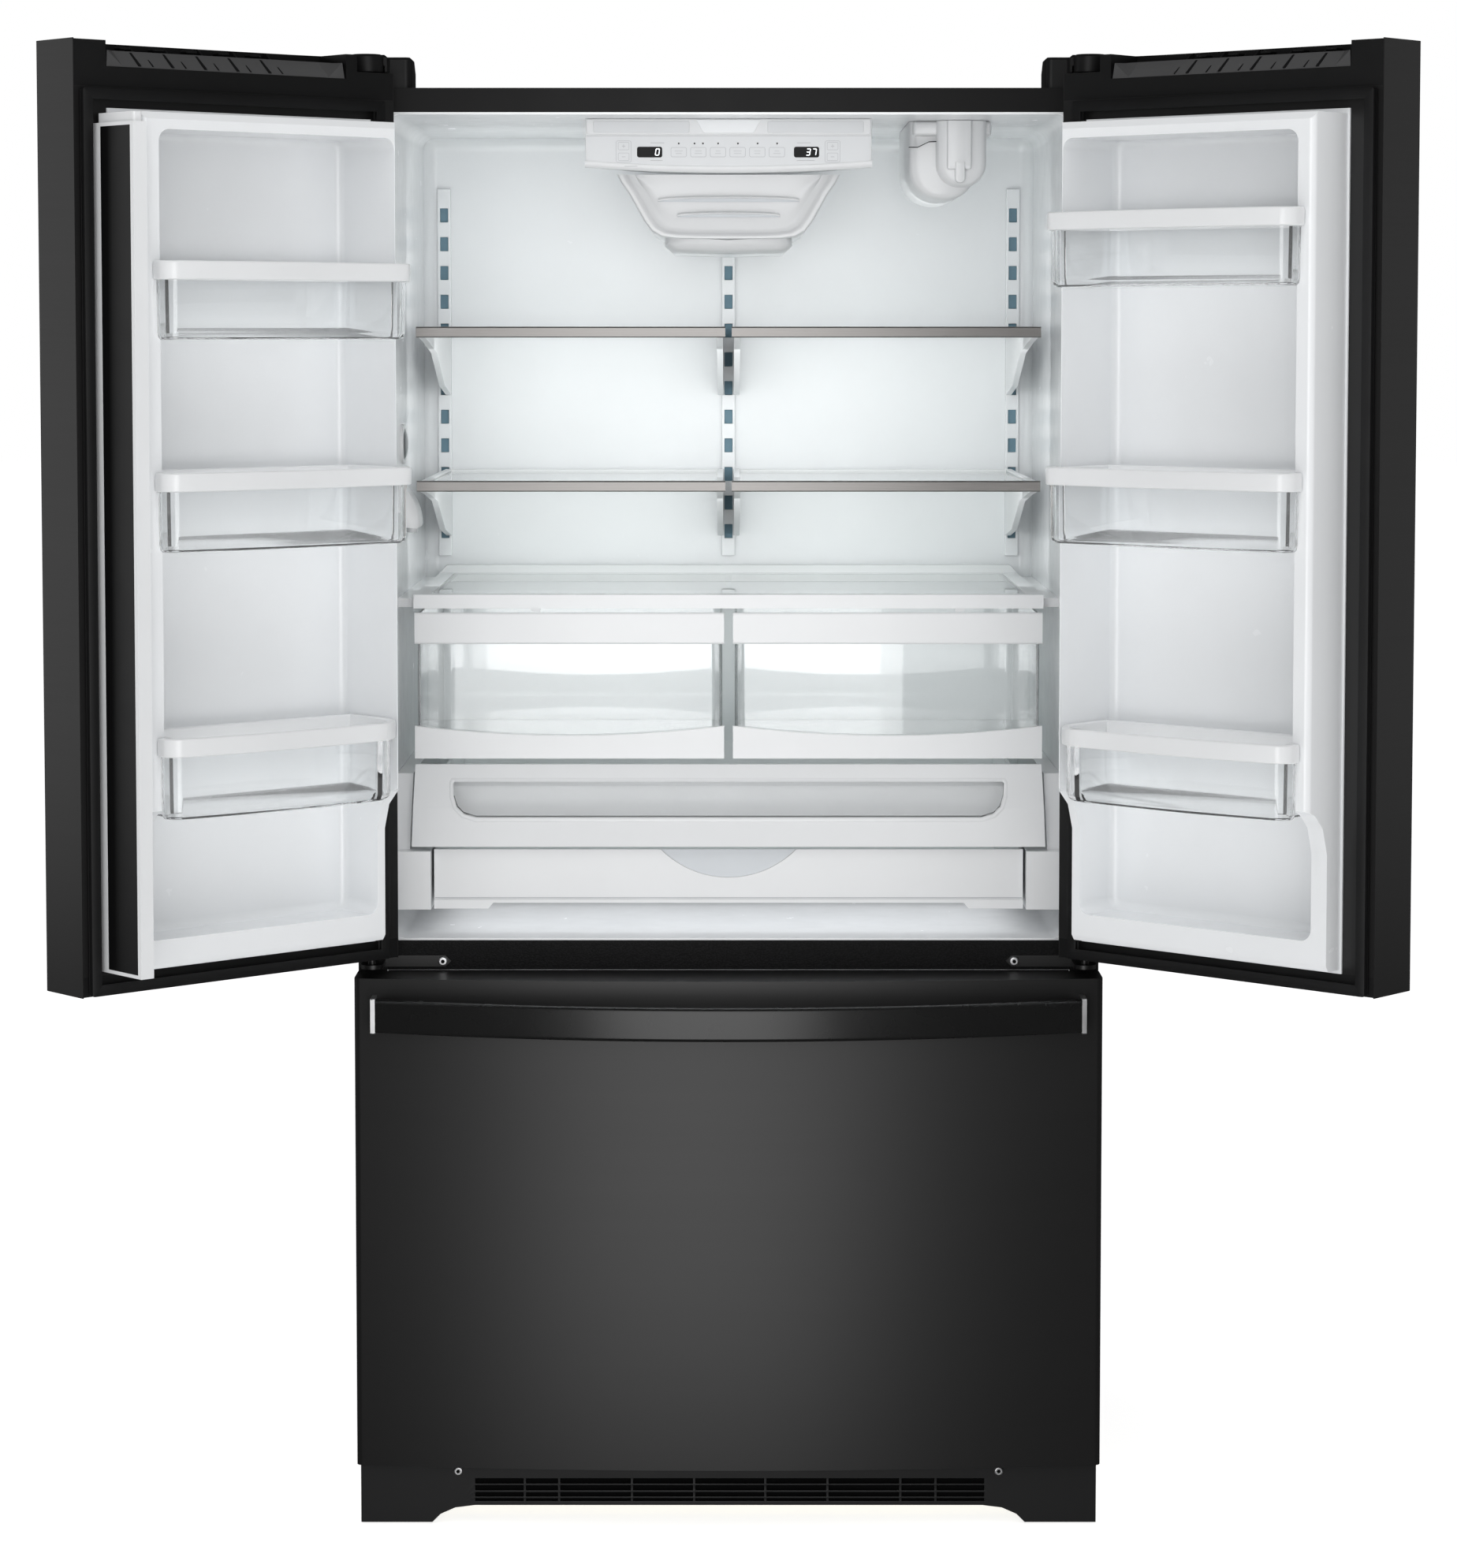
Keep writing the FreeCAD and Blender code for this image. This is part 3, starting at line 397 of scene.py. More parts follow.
def slab(bm, x, y, z, radius, edge=0.0, steps=5):
    """A plate in the XZ plane with round corners; its side at y[0] can have a softened edge."""
    outer = rounded_loop(x, z, radius, steps)
    loops = [[(px, y[1], pz) for px, pz in outer], [(px, y[0] + edge, pz) for px, pz in outer]]
    if edge:
        inner = inset_loop(x, z, edge, max(radius - edge, 0.05), steps)
        loops.append([(px, y[0], pz) for px, pz in inner])
    loft(bm, loops, cap=(True, True))


def outline(bm, x, y, z, radius, width):
    """A flat raised frame, such as the printed border round a key."""
    outer = rounded_loop(x, z, radius, 4)
    inner = inset_loop(x, z, width, max(radius - width, 0.05), 4)
    loops = [[(px, y[1], pz) for px, pz in outer], [(px, y[0], pz) for px, pz in outer]]
    loops += [[(px, y[0], pz) for px, pz in inner], [(px, y[1], pz) for px, pz in inner]]
    loft(bm, loops + loops[:1])


def turned(bm, axis_point, profile, direction, steps=28):
    """A surface of revolution: profile holds (distance along the axis, radius) pairs."""
    d = Vector(direction).normalized()
    side = d.orthogonal().normalized()
    up = d.cross(side)
    origin = Vector(axis_point)
    loops = []
    for along, radius in profile:
        ring = []
        for k in range(steps):
            a = 2 * math.pi * k / steps
            ring.append(origin + d * along + (side * math.cos(a) + up * math.sin(a)) * max(radius, 0.02))
        loops.append(ring)
    loft(bm, loops, cap=(True, True))


def frame_sweep(bm, x, z, profile):
    """Sweep a closed profile of (inset, y) points round a rectangle."""
    loops = []
    for inset, y in profile + profile[:1]:
        loops.append([(px, y, pz) for px, pz in inset_loop(x, z, inset, max(3.0 - inset, 0.3), 4)])
    loft(bm, loops)


# ---- pieces --------------------------------------------------------------------------------------
def build_gaskets():
    """Bellows seals: a foot in the groove, a fold, and the flat magnet strip that meets the flange."""
    profile = [(1.5, -11.0), (1.0, -9.0), (2.6, -8.0), (0.8, -6.4), (0.4, -4.4), (1.2, -2.9)]
    profile += [(0.2, -2.2), (0.2, -0.7), (0.8, -0.4), (12.0, -0.4), (12.8, -0.8), (12.8, -2.2)]
    profile += [(11.4, -3.0), (11.9, -4.6), (11.2, -6.4), (9.8, -8.0), (11.4, -9.0), (11.0, -11.0)]
    for side in ("left", "right"):
        bm = bmesh.new()
        frame_sweep(bm, *DOOR_SEAL, profile)
        seal = piece(f"{side}_door_seal", bm, "black_gasket", f"{side}_door", door_matrix(side), 30.0)
        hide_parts(f"{side}_door_gasket")
    bm = bmesh.new()
    frame_sweep(bm, *DRAWER_SEAL, profile)
    seal = piece("freezer_drawer_seal", bm, "black_gasket", "freezer_drawer", None, 30.0)
    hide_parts("drawer_gasket")


def panel_y(z):
    """How far back the sloping control face is at a height."""
    (z0, y0), (z1, y1) = PANEL_FACE
    return y0 + (z0 - z) * (y1 - y0) / (z0 - z1)


def on_panel(bm, lift):
    """Lean a piece that was drawn on the plane y = 0 back onto the control face, lifted off it."""
    for vertex in bm.verts:
        vertex.co.y += panel_y(vertex.co.z) - lift


def panel_edge(x):
    """The lower edge of the control face, which bows down towards the middle."""
    return 1664.5 - 6.5 * (1 - (x / PANEL_HALF) ** 2)


def bowed_plate(bm, half, top, depth):
    """A plate on the control face with a bowed lower edge."""
    loops = []
    for k in range(PANEL_COLUMNS + 1):
        x = -half + 2 * half * k / PANEL_COLUMNS
        low = panel_edge(x)
        loops.append([(x, depth, top), (x, 0.4, top), (x, 0.0, top - 0.4),
                      (x, 0.0, low + 0.4), (x, 0.4, low), (x, depth, low)])
    loft(bm, loops, cap=(True, True))


SEGMENTS = {"0": "abcdef", "3": "abgcd", "7": "abc"}


def digit(bm, text, x, z, width, height, stroke):
    """A seven-segment numeral, its lower left corner at (x, z), leaning a little to the right."""
    mid = height / 2
    bars = {
        "a": ((0, height), (width, height)), "g": ((0, mid), (width, mid)), "d": ((0, 0), (width, 0)),
        "f": ((0, height), (0, mid)), "b": ((width, height), (width, mid)),
        "e": ((0, mid), (0, 0)), "c": ((width, mid), (width, 0)),
    }
    for letter in SEGMENTS[text]:
        (x0, z0), (x1, z1) = bars[letter]
        along = Vector((x1 - x0, z1 - z0)).normalized()
        across = Vector((-along.y, along.x)) * stroke / 2
        start = Vector((x0, z0)) + along * stroke * 0.35
        end = Vector((x1, z1)) - along * stroke * 0.35
        corners = [start + across, start - along * stroke * 0.3, start - across]
        corners += [end - across, end + along * stroke * 0.3, end + across]
        loops = []
        for y in (0.0, 0.25):
            loops.append([(x + c.x + 0.14 * c.y, y, z + c.y) for c in corners])
        loft(bm, loops, cap=(True, True))


def build_control_panel():
    """The control housing's face: plate, lip, key borders and marks, dots, two displays, band and lens."""
    bm = bmesh.new()
    bowed_plate(bm, 174.0, 1695.0, 2.0)
    on_panel(bm, 1.2)
    piece("control_face_plate", bm, "panel_grey", "cabinet", slot="white_plastic")

    bm = bmesh.new()
    loops = []
    for k in range(PANEL_COLUMNS + 1):
        x = -177.0 + 354.0 * k / PANEL_COLUMNS
        low = panel_edge(x)
        loops.append([(x, 8.0, low + 1.0), (x, -0.9, low + 0.6), (x, -1.6, low - 0.5), (x, -1.2, low - 5.0),
                      (x, 1.0, low - 7.5), (x, 10.0, low - 8.0)])
    loft(bm, loops, cap=(True, True))
    on_panel(bm, 0.0)
    piece("control_lower_lip", bm, "white_plastic", "cabinet")

    borders = bmesh.new()
    for k in range(KEYS):
        x = FIRST_KEY + k * KEY_PITCH
        outline(borders, (x, x + KEY_WIDTH), (0.0, 0.3), (1669.0, 1681.0), 2.2, 0.55)
    for x in (-138.5, 118.5):
        outline(borders, (x, x + 19.0), (0.0, 0.3), (1662.5, 1689.0), 2.4, 0.5)
        for z in (1664.6, 1677.6):
            outline(borders, (x + 2.6, x + 16.4), (0.0, 0.3), (z, z + 9.6), 1.6, 0.5)
            slab(borders, (x + 7.2, x + 11.8), (0.0, 0.3), (z + 4.4, z + 5.1), 0.3)
        slab(borders, (x + 9.2, x + 9.8), (0.0, 0.3), (1680.1, 1684.7), 0.3)
    headings = ((-128, 1657.5, 16), (-96, 1664.6, 15), (84, 1664.6, 22), (-96, 1686.0, 17), (84, 1686.0, 17))
    for x, z, length in headings:
        slab(borders, (x, x + length), (0.0, 0.25), (z, z + 0.7), 0.3)
    on_panel(borders, 1.45)
    piece("control_key_borders", borders, "print_grey", "cabinet", slot="grey_plastic")

    captions = bmesh.new()
    for k in range(KEYS):
        x = FIRST_KEY + k * KEY_PITCH + KEY_WIDTH / 2
        for z, half in ((1676.0, 5.0 - (k % 3)), (1673.0, 3.6 + (k % 2))):
            slab(captions, (x - half, x + half), (0.0, 0.2), (z, z + 1.1), 0.4)
    on_panel(captions, 1.4)
    piece("control_key_marks", captions, "print_light", "cabinet", slot="grey_plastic")

    dots = bmesh.new()
    for x in (-61.2, -41.8, -31.4, -12.8, 11.6, 35.8, 59.8):
        turned(dots, (x, 0.0, 1685.6), [(0.0, 1.1), (-0.35, 0.9), (-0.45, 0.3)], (0, 1, 0), 12)
    on_panel(dots, 1.25)
    piece("control_indicator_dots", dots, "dark_slot", "cabinet", slot="grey_plastic")

    for name, x, text in (("freezer", -112.5, "0"), ("fridge", 80.5, "37")):
        bm = bmesh.new()
        slab(bm, (x, x + 31.0), (0.0, 2.0), (1668.6, 1681.6), 2.6, 0.3)
        on_panel(bm, 1.7)
        piece(f"{name}_display_window", bm, "display_black", "cabinet", slot="black_plastic")
        bm = bmesh.new()
        for k, symbol in enumerate(reversed(text)):
            digit(bm, symbol, x + 22.4 - 7.4 * k, 1671.4, 4.3, 7.6, 1.1)
        on_panel(bm, 1.9)
        piece(f"{name}_display_digits", bm, "display_digit", "cabinet", slot="white_plastic")

    bm = bmesh.new()
    slab(bm, (-175.0, 175.0), (88.6, 92.0), (1696.4, CEILING), 3.0, 0.8)
    piece("control_upper_band", bm, "white_plastic", "cabinet", slot="white_plastic")
    wings = bmesh.new()
    for x in ((-166.0, -48.0), (48.0, 166.0)):
        slab(wings, x, (88.0, 90.0), (1698.6, 1713.0), 2.0, 0.4)
    piece("control_band_wings", wings, "panel_grey", "cabinet", slot="white_plastic")
    bm = bmesh.new()
    widths = ((1714.5, 40.0), (1708.0, 36.0), (1701.5, 33.0), (1698.5, 30.0))
    loops = [[(-half, 90.0, z), (-half, 87.9, z), (half, 87.9, z), (half, 90.0, z)] for z, half in widths]
    loft(bm, loops, cap=(True, True))
    piece("ceiling_light_lens", bm, "light_lens", "cabinet", bevel=0.5, slot="white_plastic")


DUCT_TOP = 1650.0
DUCT_WIDTHS = (  # (z, half width)
    (DUCT_TOP, 139.0), (1640.0, 134.0), (1626.0, 124.0), (1608.0, 114.0), (1592.0, 105.0),
    (1580.0, 96.0), (1573.0, 84.0), (1570.5, 66.0), (1570.0, 40.0), (1570.0, 0.0),
)


def duct_outline(scale):
    """The duct's U, as (x, z) points from the upper left to the upper right."""
    half = [(w * scale, DUCT_TOP - (DUCT_TOP - z) * scale) for z, w in DUCT_WIDTHS]
    return [(-x, z) for x, z in half] + [(x, z) for x, z in reversed(half[:-1])]


def build_air_duct():
    """The ceiling duct: a rolled rim, a recessed front with two louvres, and a body that runs to the rear."""
    bm = bmesh.new()
    rim = [(1.0, 520.0), (1.0, 158.0), (1.0, 153.0), (0.985, 150.6), (0.96, 150.0), (0.935, 151.0),
           (0.915, 154.0), (0.89, 156.0), (0.84, 156.5)]
    loft(bm, [[(x, y, z) for x, z in duct_outline(scale)] for scale, y in rim], closed=False)
    face_scale, face_y = rim[-1]
    rows = 9
    grid = []
    for x, z in duct_outline(face_scale):
        grid.append([(x, face_y + 3.0 * math.sin(math.pi * r / rows), z + (DUCT_TOP - z) * r / rows)
                     for r in range(rows + 1)])
    loft(bm, grid, closed=False)
    shell = piece("air_duct_shell", bm, "white_plastic", "cabinet", slot="white_plastic")
    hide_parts("air_duct")

    for k, (z, half, tall) in enumerate(((1617.0, 88.0, 7.0), (1598.0, 64.0, 6.0)), 1):
        brow, dark = bmesh.new(), bmesh.new()
        columns = 28
        loops, slit = [], []
        for c in range(columns + 1):
            x = -half + 2 * half * c / columns
            swell = math.sqrt(max(1 - (x / half) ** 2, 0.0))
            top = z + tall * 0.55 * swell
            low = top - 0.5 - tall * 0.6 * swell
            loops.append([(x, 157.5, top + 3.2), (x, 153.4 + 3 * (1 - swell), top + 1.6),
                          (x, 152.8 + 4 * (1 - swell), top), (x, 157.6, top - 0.6)])
            slit.append([(x, 156.4, top - 0.3), (x, 156.2, low), (x, 158.0, top - 0.3)])
        loft(brow, loops, cap=(True, True))
        loft(dark, slit, cap=(True, True))
        piece(f"duct_louvre_{k}", brow, "white_plastic", "cabinet", slot="white_plastic")
        piece(f"duct_louvre_shade_{k}", dark, "slot_grey", "cabinet", slot="grey_plastic")

    bm = bmesh.new()
    loops = []
    for y, half, low in ((520.0, 80.0, 1556.0), (200.0, 80.0, 1554.0), (178.0, 78.0, 1555.0),
                         (168.0, 72.0, 1559.0), (163.0, 64.0, 1566.0), (161.0, 60.0, 1571.0)):
        loops.append([(-half, y, 1580.0), (-half, y, low + 8), (-half + 9, y, low), (0, y, low - 2.0),
                      (half - 9, y, low), (half, y, low + 8), (half, y, 1580.0)])
    loft(bm, loops, closed=False)
    piece("air_duct_belly", bm, "white_plastic", "cabinet", slot="white_plastic")


def rounded_shell(bm, x, z, radius, steps):
    """A boss that points forwards: loops of a rounded outline, each at (y, inset)."""
    loops = []
    for y, inset in steps:
        loops.append([(px, y, pz) for px, pz in inset_loop(x, z, inset, max(radius - inset, 1.0), 8)])
    loft(bm, loops, cap=(False, True))


def hanging_shell(bm, x, low, top, radius, steps):
    """A round-bottomed shell that hangs down from its top: loops of its U outline, each at (y, inset)."""
    loops = []
    for y, inset in steps:
        r = max(radius - inset, 1.0)
        points = [(x[1] - inset, top)]
        for cx, start in ((x[1] - inset - r, 0.0), (x[0] + inset + r, -90.0)):
            for k in range(11):
                angle = math.radians(start - 9.0 * k)
                points.append((cx + r * math.cos(angle), low + inset + r + r * math.sin(angle)))
        points.append((x[0] + inset, top))
        loops.append([(px, y, pz) for px, pz in points])
    loft(bm, loops, cap=(False, True))


def build_filter():
    """The water filter's ceiling housing: front shell, rear bowl, latch, finger tab, saddle and its seam."""
    soft = [(0.0, 0.0), (-6.0, 1.2), (-10.0, 4.0), (-12.5, 9.0), (-13.4, 15.0)]
    latch = [(0.0, 0.0), (-6.0, 0.0), (-8.0, 1.2), (-8.8, 4.0)]
    tab = [(0.0, 0.0), (-8.6, 0.0), (-10.2, 1.0), (-10.6, 3.0)]
    shells = (  # name, x range, low z, top z, corner radius, rear y, y of the nose, nose as (y, inset)
        ("filter_body", (258.0, 320.0), 1634.0, CEILING, 29.0, 430.0, 142.0, soft),
        ("filter_rear_bowl", (225.0, 309.0), 1618.0, CEILING, 40.0, 430.0, 164.0, soft),
        ("filter_latch", (270.5, 301.0), 1655.0, CEILING, 3.0, 136.0, 130.0, latch),
        ("filter_latch_tab", (280.5, 293.0), 1638.5, 1664.0, 5.6, 136.0, 130.0, tab),
    )
    for name, x, low, top, radius, rear, start, nose in shells:
        bm = bmesh.new()
        hanging_shell(bm, x, low, top, radius, [(rear, 0.0)] + [(start + y, inset) for y, inset in nose])
        made = piece(name, bm, "white_plastic", "cabinet", slot="white_plastic")
        if name == "filter_body":
            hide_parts("filter_housing")
    bm = bmesh.new()
    steps = [(440.0, 0.0), (148.0, 0.0), (144.0, 1.6), (142.0, 4.0)]
    rounded_shell(bm, (229.0, 327.0), (1697.0, CEILING + 0.3), 4.0, steps)
    piece("filter_saddle", bm, "white_plastic", "cabinet", slot="white_plastic")
    bm = bmesh.new()
    seam = [(224.0, 1683.8), (235.0, 1683.8), (249.0, 1690.6), (268.0, 1691.4)]
    section = ((148.0, 0.0), (140.5, 0.0), (140.5, 0.9), (148.0, 0.9))
    loft(bm, [[(x, y, z - h) for y, h in section] for x, z in seam], cap=(True, True))
    piece("filter_seam", bm, "dark_slot", "cabinet", slot="grey_plastic")


def build_dispenser():
    """The water dispenser on the left wall: a curved hood with its nozzle, a bezel and a bulging paddle."""
    wall = LEFT_WALL
    bm = bmesh.new()
    face = []
    for k in range(13):
        angle = math.radians(7.5 * k)
        face.append((wall + 24.5 * math.sin(angle) ** 1.5, 1262.0 - 50.0 * (1 - math.cos(angle))))
    face += [(wall + 23.0, 1208.5), (wall + 8.0, 1209.5), (wall, 1209.5)]
    loops = []
    for y, inset in ((180.0, 3.0), (181.0, 1.0), (183.5, 0.0), (228.5, 0.0), (231.0, 1.0), (232.0, 3.0)):
        loops.append([(wall + (x - wall) * (1 - inset / 30.0), y, z - inset * 0.4) for x, z in face])
    loft(bm, loops, cap=(True, True))
    hood = piece("dispenser_hood", bm, "white_plastic", "cabinet", None, 50.0, slot="white_plastic")
    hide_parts("water_dispenser")
    bm = bmesh.new()
    profile = [(0.0, 8.0), (7.0, 7.4), (9.6, 6.6), (10.0, 4.4), (3.0, 4.0)]
    turned(bm, (wall + 12.5, 206.0, 1211.0), profile, (0, 0, -1))
    piece("dispenser_nozzle", bm, "white_plastic", "cabinet", slot="white_plastic")
    bm = bmesh.new()
    mid_y, mid_z = 206.0, 1313.0  # the button's centre
    outer = rounded_loop((mid_y - 22.0, mid_y + 22.0), (mid_z - 25.0, mid_z + 25.0), 20.0, 8)
    inner = rounded_loop((mid_y - 16.0, mid_y + 16.0), (mid_z - 19.0, mid_z + 19.0), 15.0, 8)
    high = wall + 3.6
    rows = [[(wall, y, z) for y, z in outer], [(high - 1.0, y, z) for y, z in outer]]
    rows += [[(high, y + (mid_y - y) * 0.04, z + (mid_z - z) * 0.04) for y, z in outer]]
    rows += [[(high, y, z) for y, z in inner], [(wall, y, z) for y, z in inner]]
    loft(bm, rows)
    piece("dispenser_bezel", bm, "white_plastic", "cabinet", slot="white_plastic")
    bm = bmesh.new()
    loop = rounded_loop((mid_y - 15.0, mid_y + 15.0), (mid_z - 18.0, mid_z + 18.0), 14.0, 8)
    rows = []
    for lift, shrink in ((2.3, 0.0), (3.4, 0.0), (5.4, 0.12), (6.8, 0.34), (7.6, 0.66), (7.8, 0.9)):
        rows.append([(wall + lift, y + (mid_y - y) * shrink, z + (mid_z - z) * shrink) for y, z in loop])
    loft(bm, rows, cap=(True, True))
    paddle = piece("dispenser_paddle", bm, "paddle_grey", "water_button", None, 60.0, slot="grey_plastic")
    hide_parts("dispenser_button")


def corner_drops(radius):
    """A round corner as (distance along the front, drop behind it) pairs, from its side to the front."""
    angles = [math.radians(11.25 * k) for k in range(9)]
    return [(radius * (1 - math.cos(angle)), radius * (1 - math.sin(angle))) for angle in angles]


def bin_loop(grow, z, step, slim):
    """The plan of a door bin on the left door: narrow inside the liner, wider where it stands over its dykes.

    A slim bin keeps its narrow hinge end, with a larger corner, so that the crisper beside it can slide past.
    """
    narrow = (BIN_NARROW[0] - grow, BIN_NARROW[1] + grow)
    x0, x1 = narrow[0] if slim else BIN_WIDE[0] - grow, BIN_WIDE[1] + grow
    back, front = BIN_BACK - grow, BIN_FRONT + grow
    radii = ((46.0 if slim else 16.0) + 0.4 * grow, 16.0 + 0.4 * grow)
    steps = [min(step, front - BIN_CROWN - radius - 0.4) for radius in radii]
    bow = corner_drops(radii[0]) + [((x1 - x0) * k / 18.0, 0.0) for k in range(2, 17)]
    bow += [(x1 - x0 - d, drop) for d, drop in reversed(corner_drops(radii[1]))]
    points = [(narrow[1], back), (narrow[0], back), (narrow[0], steps[0]), (x0, steps[0] + 0.2)]
    for d, drop in bow:
        u = 2 * d / (x1 - x0) - 1
        points.append((x0 + d, front - BIN_CROWN * u * u - drop))
    points += [(x1, steps[1]), (narrow[1], steps[1])]
    return [(x, y, z) for x, y in points]


def lid_face(z):
    """How far behind the flange the pantry lid's front is at a height: it leans back more above its fold."""
    fold_y, fold_z = 62.0, 866.0
    return fold_y + (z - fold_z) * (34.0 / 42.0 if z > fold_z else 24.0 / 44.0)


def build_pantry_details():
    """The pantry drawer: a lip round the lid's window, painted shade in the finger notch and a seam."""
    centre_x, centre_z = 312.0, 878.0  # the lip grows away from the centres of its two round ends
    right = [(340.0, 898.5), (342.3, 895.0), (341.0, 880.0), (336.5, 868.0), (327.0, 859.6)]
    right.append((centre_x, 855.6))
    path = right + [(-x, z) for x, z in reversed(right)]
    bm = bmesh.new()
    loops = []
    for grow, lift in ((-0.6, -3.0), (-0.4, 0.6), (0.6, 1.3), (2.6, 1.3), (4.2, 0.5), (5.0, -0.4)):
        loop = []
        for x, z in path:
            side, rise = math.copysign(max(abs(x) - centre_x, 0.0), x), z - centre_z
            reach = math.hypot(side, rise)
            px, pz = x + grow * side / reach, z + grow * rise / reach
            loop.append((px, lid_face(pz) - lift, pz))
        loops.append(loop)
    loft(bm, loops)
    piece("pantry_window_lip", bm, "white_plastic", "pantry_flap", None, 50.0, slot="white_plastic")
    # painted shade: a grey sheet on the notch's floor stands in for the shaded inside of the pan
    bm = bmesh.new()
    radius = 116.7
    angles = [math.radians(5.0 * k) for k in range(-9, 10)]
    arch = [(radius * math.sin(angle), 900.1 - radius * math.cos(angle)) for angle in angles]
    loft(bm, [[(x, y, z) for x, z in arch] for y in (48.6, 48.95)], cap=(True, True))
    piece("pantry_notch_painted_shade", bm, "slot_grey", "pantry_drawer", slot="grey_plastic")
    bm = bmesh.new()
    slab(bm, (-362.0, 362.0), (45.5, 46.1), (757.4, 758.6), 0.5, 0.1, 2)
    piece("pantry_front_seam", bm, "print_grey", "pantry_drawer", slot="grey_plastic")


def build_bins():
    """The door bins: clear moulded tubs under white rims that overhang the liner at both ends."""
    outside = [(0.0, -20.0), (0.4, -4.0), (-0.2, -1.2), (-1.6, 0.0)]
    inside = [(-5.4, 0.0), (-7.0, -1.4), (-7.0, -21.0)]
    outer, inner = DYKE_FACE, DYKE_FACE + BIN_WALL
    rim = [(-1.0, -21.0, outer)] + [(*step, outer) for step in outside]
    rim += [(*step, inner) for step in inside] + [(-1.0, -21.0, outer)]
    for side, bins in BINS.items():
        rims, tubs = bmesh.new(), bmesh.new()
        for top, depth in bins:
            low, slim = top - depth, top < BIN_SLIM_BELOW
            loft(rims, [bin_loop(grow, top + z, step, slim) for grow, z, step in rim])
            tub = [(-14.0, low + 3.0), (-10.6, low + 4.2), (-8.2, low + 8.0), (-7.3, top - 21.5)]
            loops = [bin_loop(grow, z, inner, slim) for grow, z in tub]
            tub = [(-4.3, top - 21.5), (-4.9, low + 9.0), (-6.4, low + 3.0), (-9.0, low + 0.6), (-12.5, low)]
            loops += [bin_loop(grow, z, outer, slim) for grow, z in tub]
            loft(tubs, loops, cap=(True, True))
        made = piece(f"{side}_bin_rim_set", rims, "white_plastic", f"{side}_door", door_matrix(side), 35.0,
                     slot="white_plastic")
        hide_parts(f"{side}_bin_rims")
        made = piece(f"{side}_bin_tub_set", tubs, "clear_plastic", f"{side}_door", door_matrix(side), 35.0,
                     slot="clear_plastic")
        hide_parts(f"{side}_bin_tubs")


def bowed_bar(bm, half, end, centre, height):
    """A bar along X that bows forwards: end and centre are its front face's y, its height is along Z."""
    sag = end - centre
    big = (half * half + sag * sag) / (2 * sag)
    section = rounded_loop((0.0, 14.0), (0.0, height), 5.0, 5)
    columns = 72
    loops = []
    for k in range(columns + 1):
        x = -half + 2 * half * k / columns
        loops.append([(x, centre + big - math.sqrt((big - t) ** 2 - x * x), z) for t, z in section])
    loft(bm, loops, cap=(True, True))


def build_handles():
    """Smooth bowed handles: the drawer's lies across, the doors' stand upright on two posts."""
    bm = bmesh.new()
    bowed_bar(bm, 424.0, -100.0, -164.0, 40.0)
    bmesh.ops.translate(bm, verts=bm.verts, vec=(0.0, 0.0, 615.0))
    bar = piece("drawer_handle_bar", bm, "black_handle", "freezer_drawer", None, 50.0, slot="black_steel")
    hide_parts("drawer_handle")
    for side in ("left", "right"):
        bm = bmesh.new()
        bowed_bar(bm, 360.0, -30.0, -58.0, 34.0)
        section = rounded_loop((-26.0, 8.0), (2.0, 32.0), 4.0)
        for ends in ((-360.0, -347.0), (347.0, 360.0)):
            loft(bm, [[(x, y, z) for y, z in section] for x in ends], cap=(True, True))
        bmesh.ops.rotate(bm, verts=bm.verts, matrix=Matrix.Rotation(math.pi / 2, 3, "Y"))
        bmesh.ops.translate(bm, verts=bm.verts, vec=(-88.0, -92.0, 1180.0))
        bar = piece(f"{side}_handle_bar", bm, "black_handle", f"{side}_door", door_matrix(side), 50.0,
                    slot="black_steel")
        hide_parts(f"{side}_door_handle")


def build_cap_pockets():
    """The sloping insert in each door's top end cap, with its paired ribs and the small tabs above them."""
    (z_top, y_top), (z_low, y_low), (z_shade, y_shade) = (1772.5, -36.0), (1754.4, -13.0), (1752.8, -12.2)
    for side in ("left", "right"):
        matrix = door_matrix(side)
        bm = bmesh.new()
        (mouth0, mouth1), (foot0, foot1) = (-380.5, -48.5), (-358.0, -70.0)
        rows = [
            [(mouth0, y_top, z_top), (foot0, y_top + 2.0, z_top),
             (foot1, y_top + 2.0, z_top), (mouth1, y_top, z_top)],
            [(mouth0 + 2.0, y_low - 1.0, z_top - 1.0), (foot0, y_low, z_low),
             (foot1, y_low, z_low), (mouth1 - 2.0, y_low - 1.0, z_top - 1.0)],
            [(x, y_shade, z_shade) for x in (mouth0, foot0, foot1, mouth1)],
        ]
        loft(bm, rows, closed=False)
        # the insert's grey is painted light on the cap's black plastic, not a colour of its own
        piece(f"{side}_cap_insert", bm, "cap_insert_painted_light", f"{side}_door", matrix, 25.0, slot="black_plastic")

        ribs = bmesh.new()
        for k in range(RIBS):
            for offset, width, lift in ((0.0, 3.4, 2.6), (-19.0, 1.6, 1.2)):
                end = -92.0 - RIB_PITCH * k + offset
                loops = []
                for x in (end - width, end):
                    loops.append([(x, y_low + 0.1, z_low + 0.4), (x, y_low + lift * 0.4, z_low + 0.8),
                                  (x, y_top + lift, z_top - 0.6), (x, y_top + 0.1, z_top - 0.3)])
                loft(ribs, loops, cap=(True, True))
        piece(f"{side}_cap_ribs", ribs, "black_plastic", f"{side}_door", matrix, 25.0, slot="black_plastic")

        tabs = bmesh.new()
        for k in range(RIBS):
            x = -85.0 - RIB_PITCH * k
            steps = [(-52.0, 0.0), (-40.0, 0.0), (-38.8, 1.0)]
            rounded_shell(tabs, (x - 15.0, x), (1774.2, 1778.2), 2.0, steps)
        piece(f"{side}_cap_tabs", tabs, "black_plastic", f"{side}_door", matrix, 30.0, slot="black_plastic")


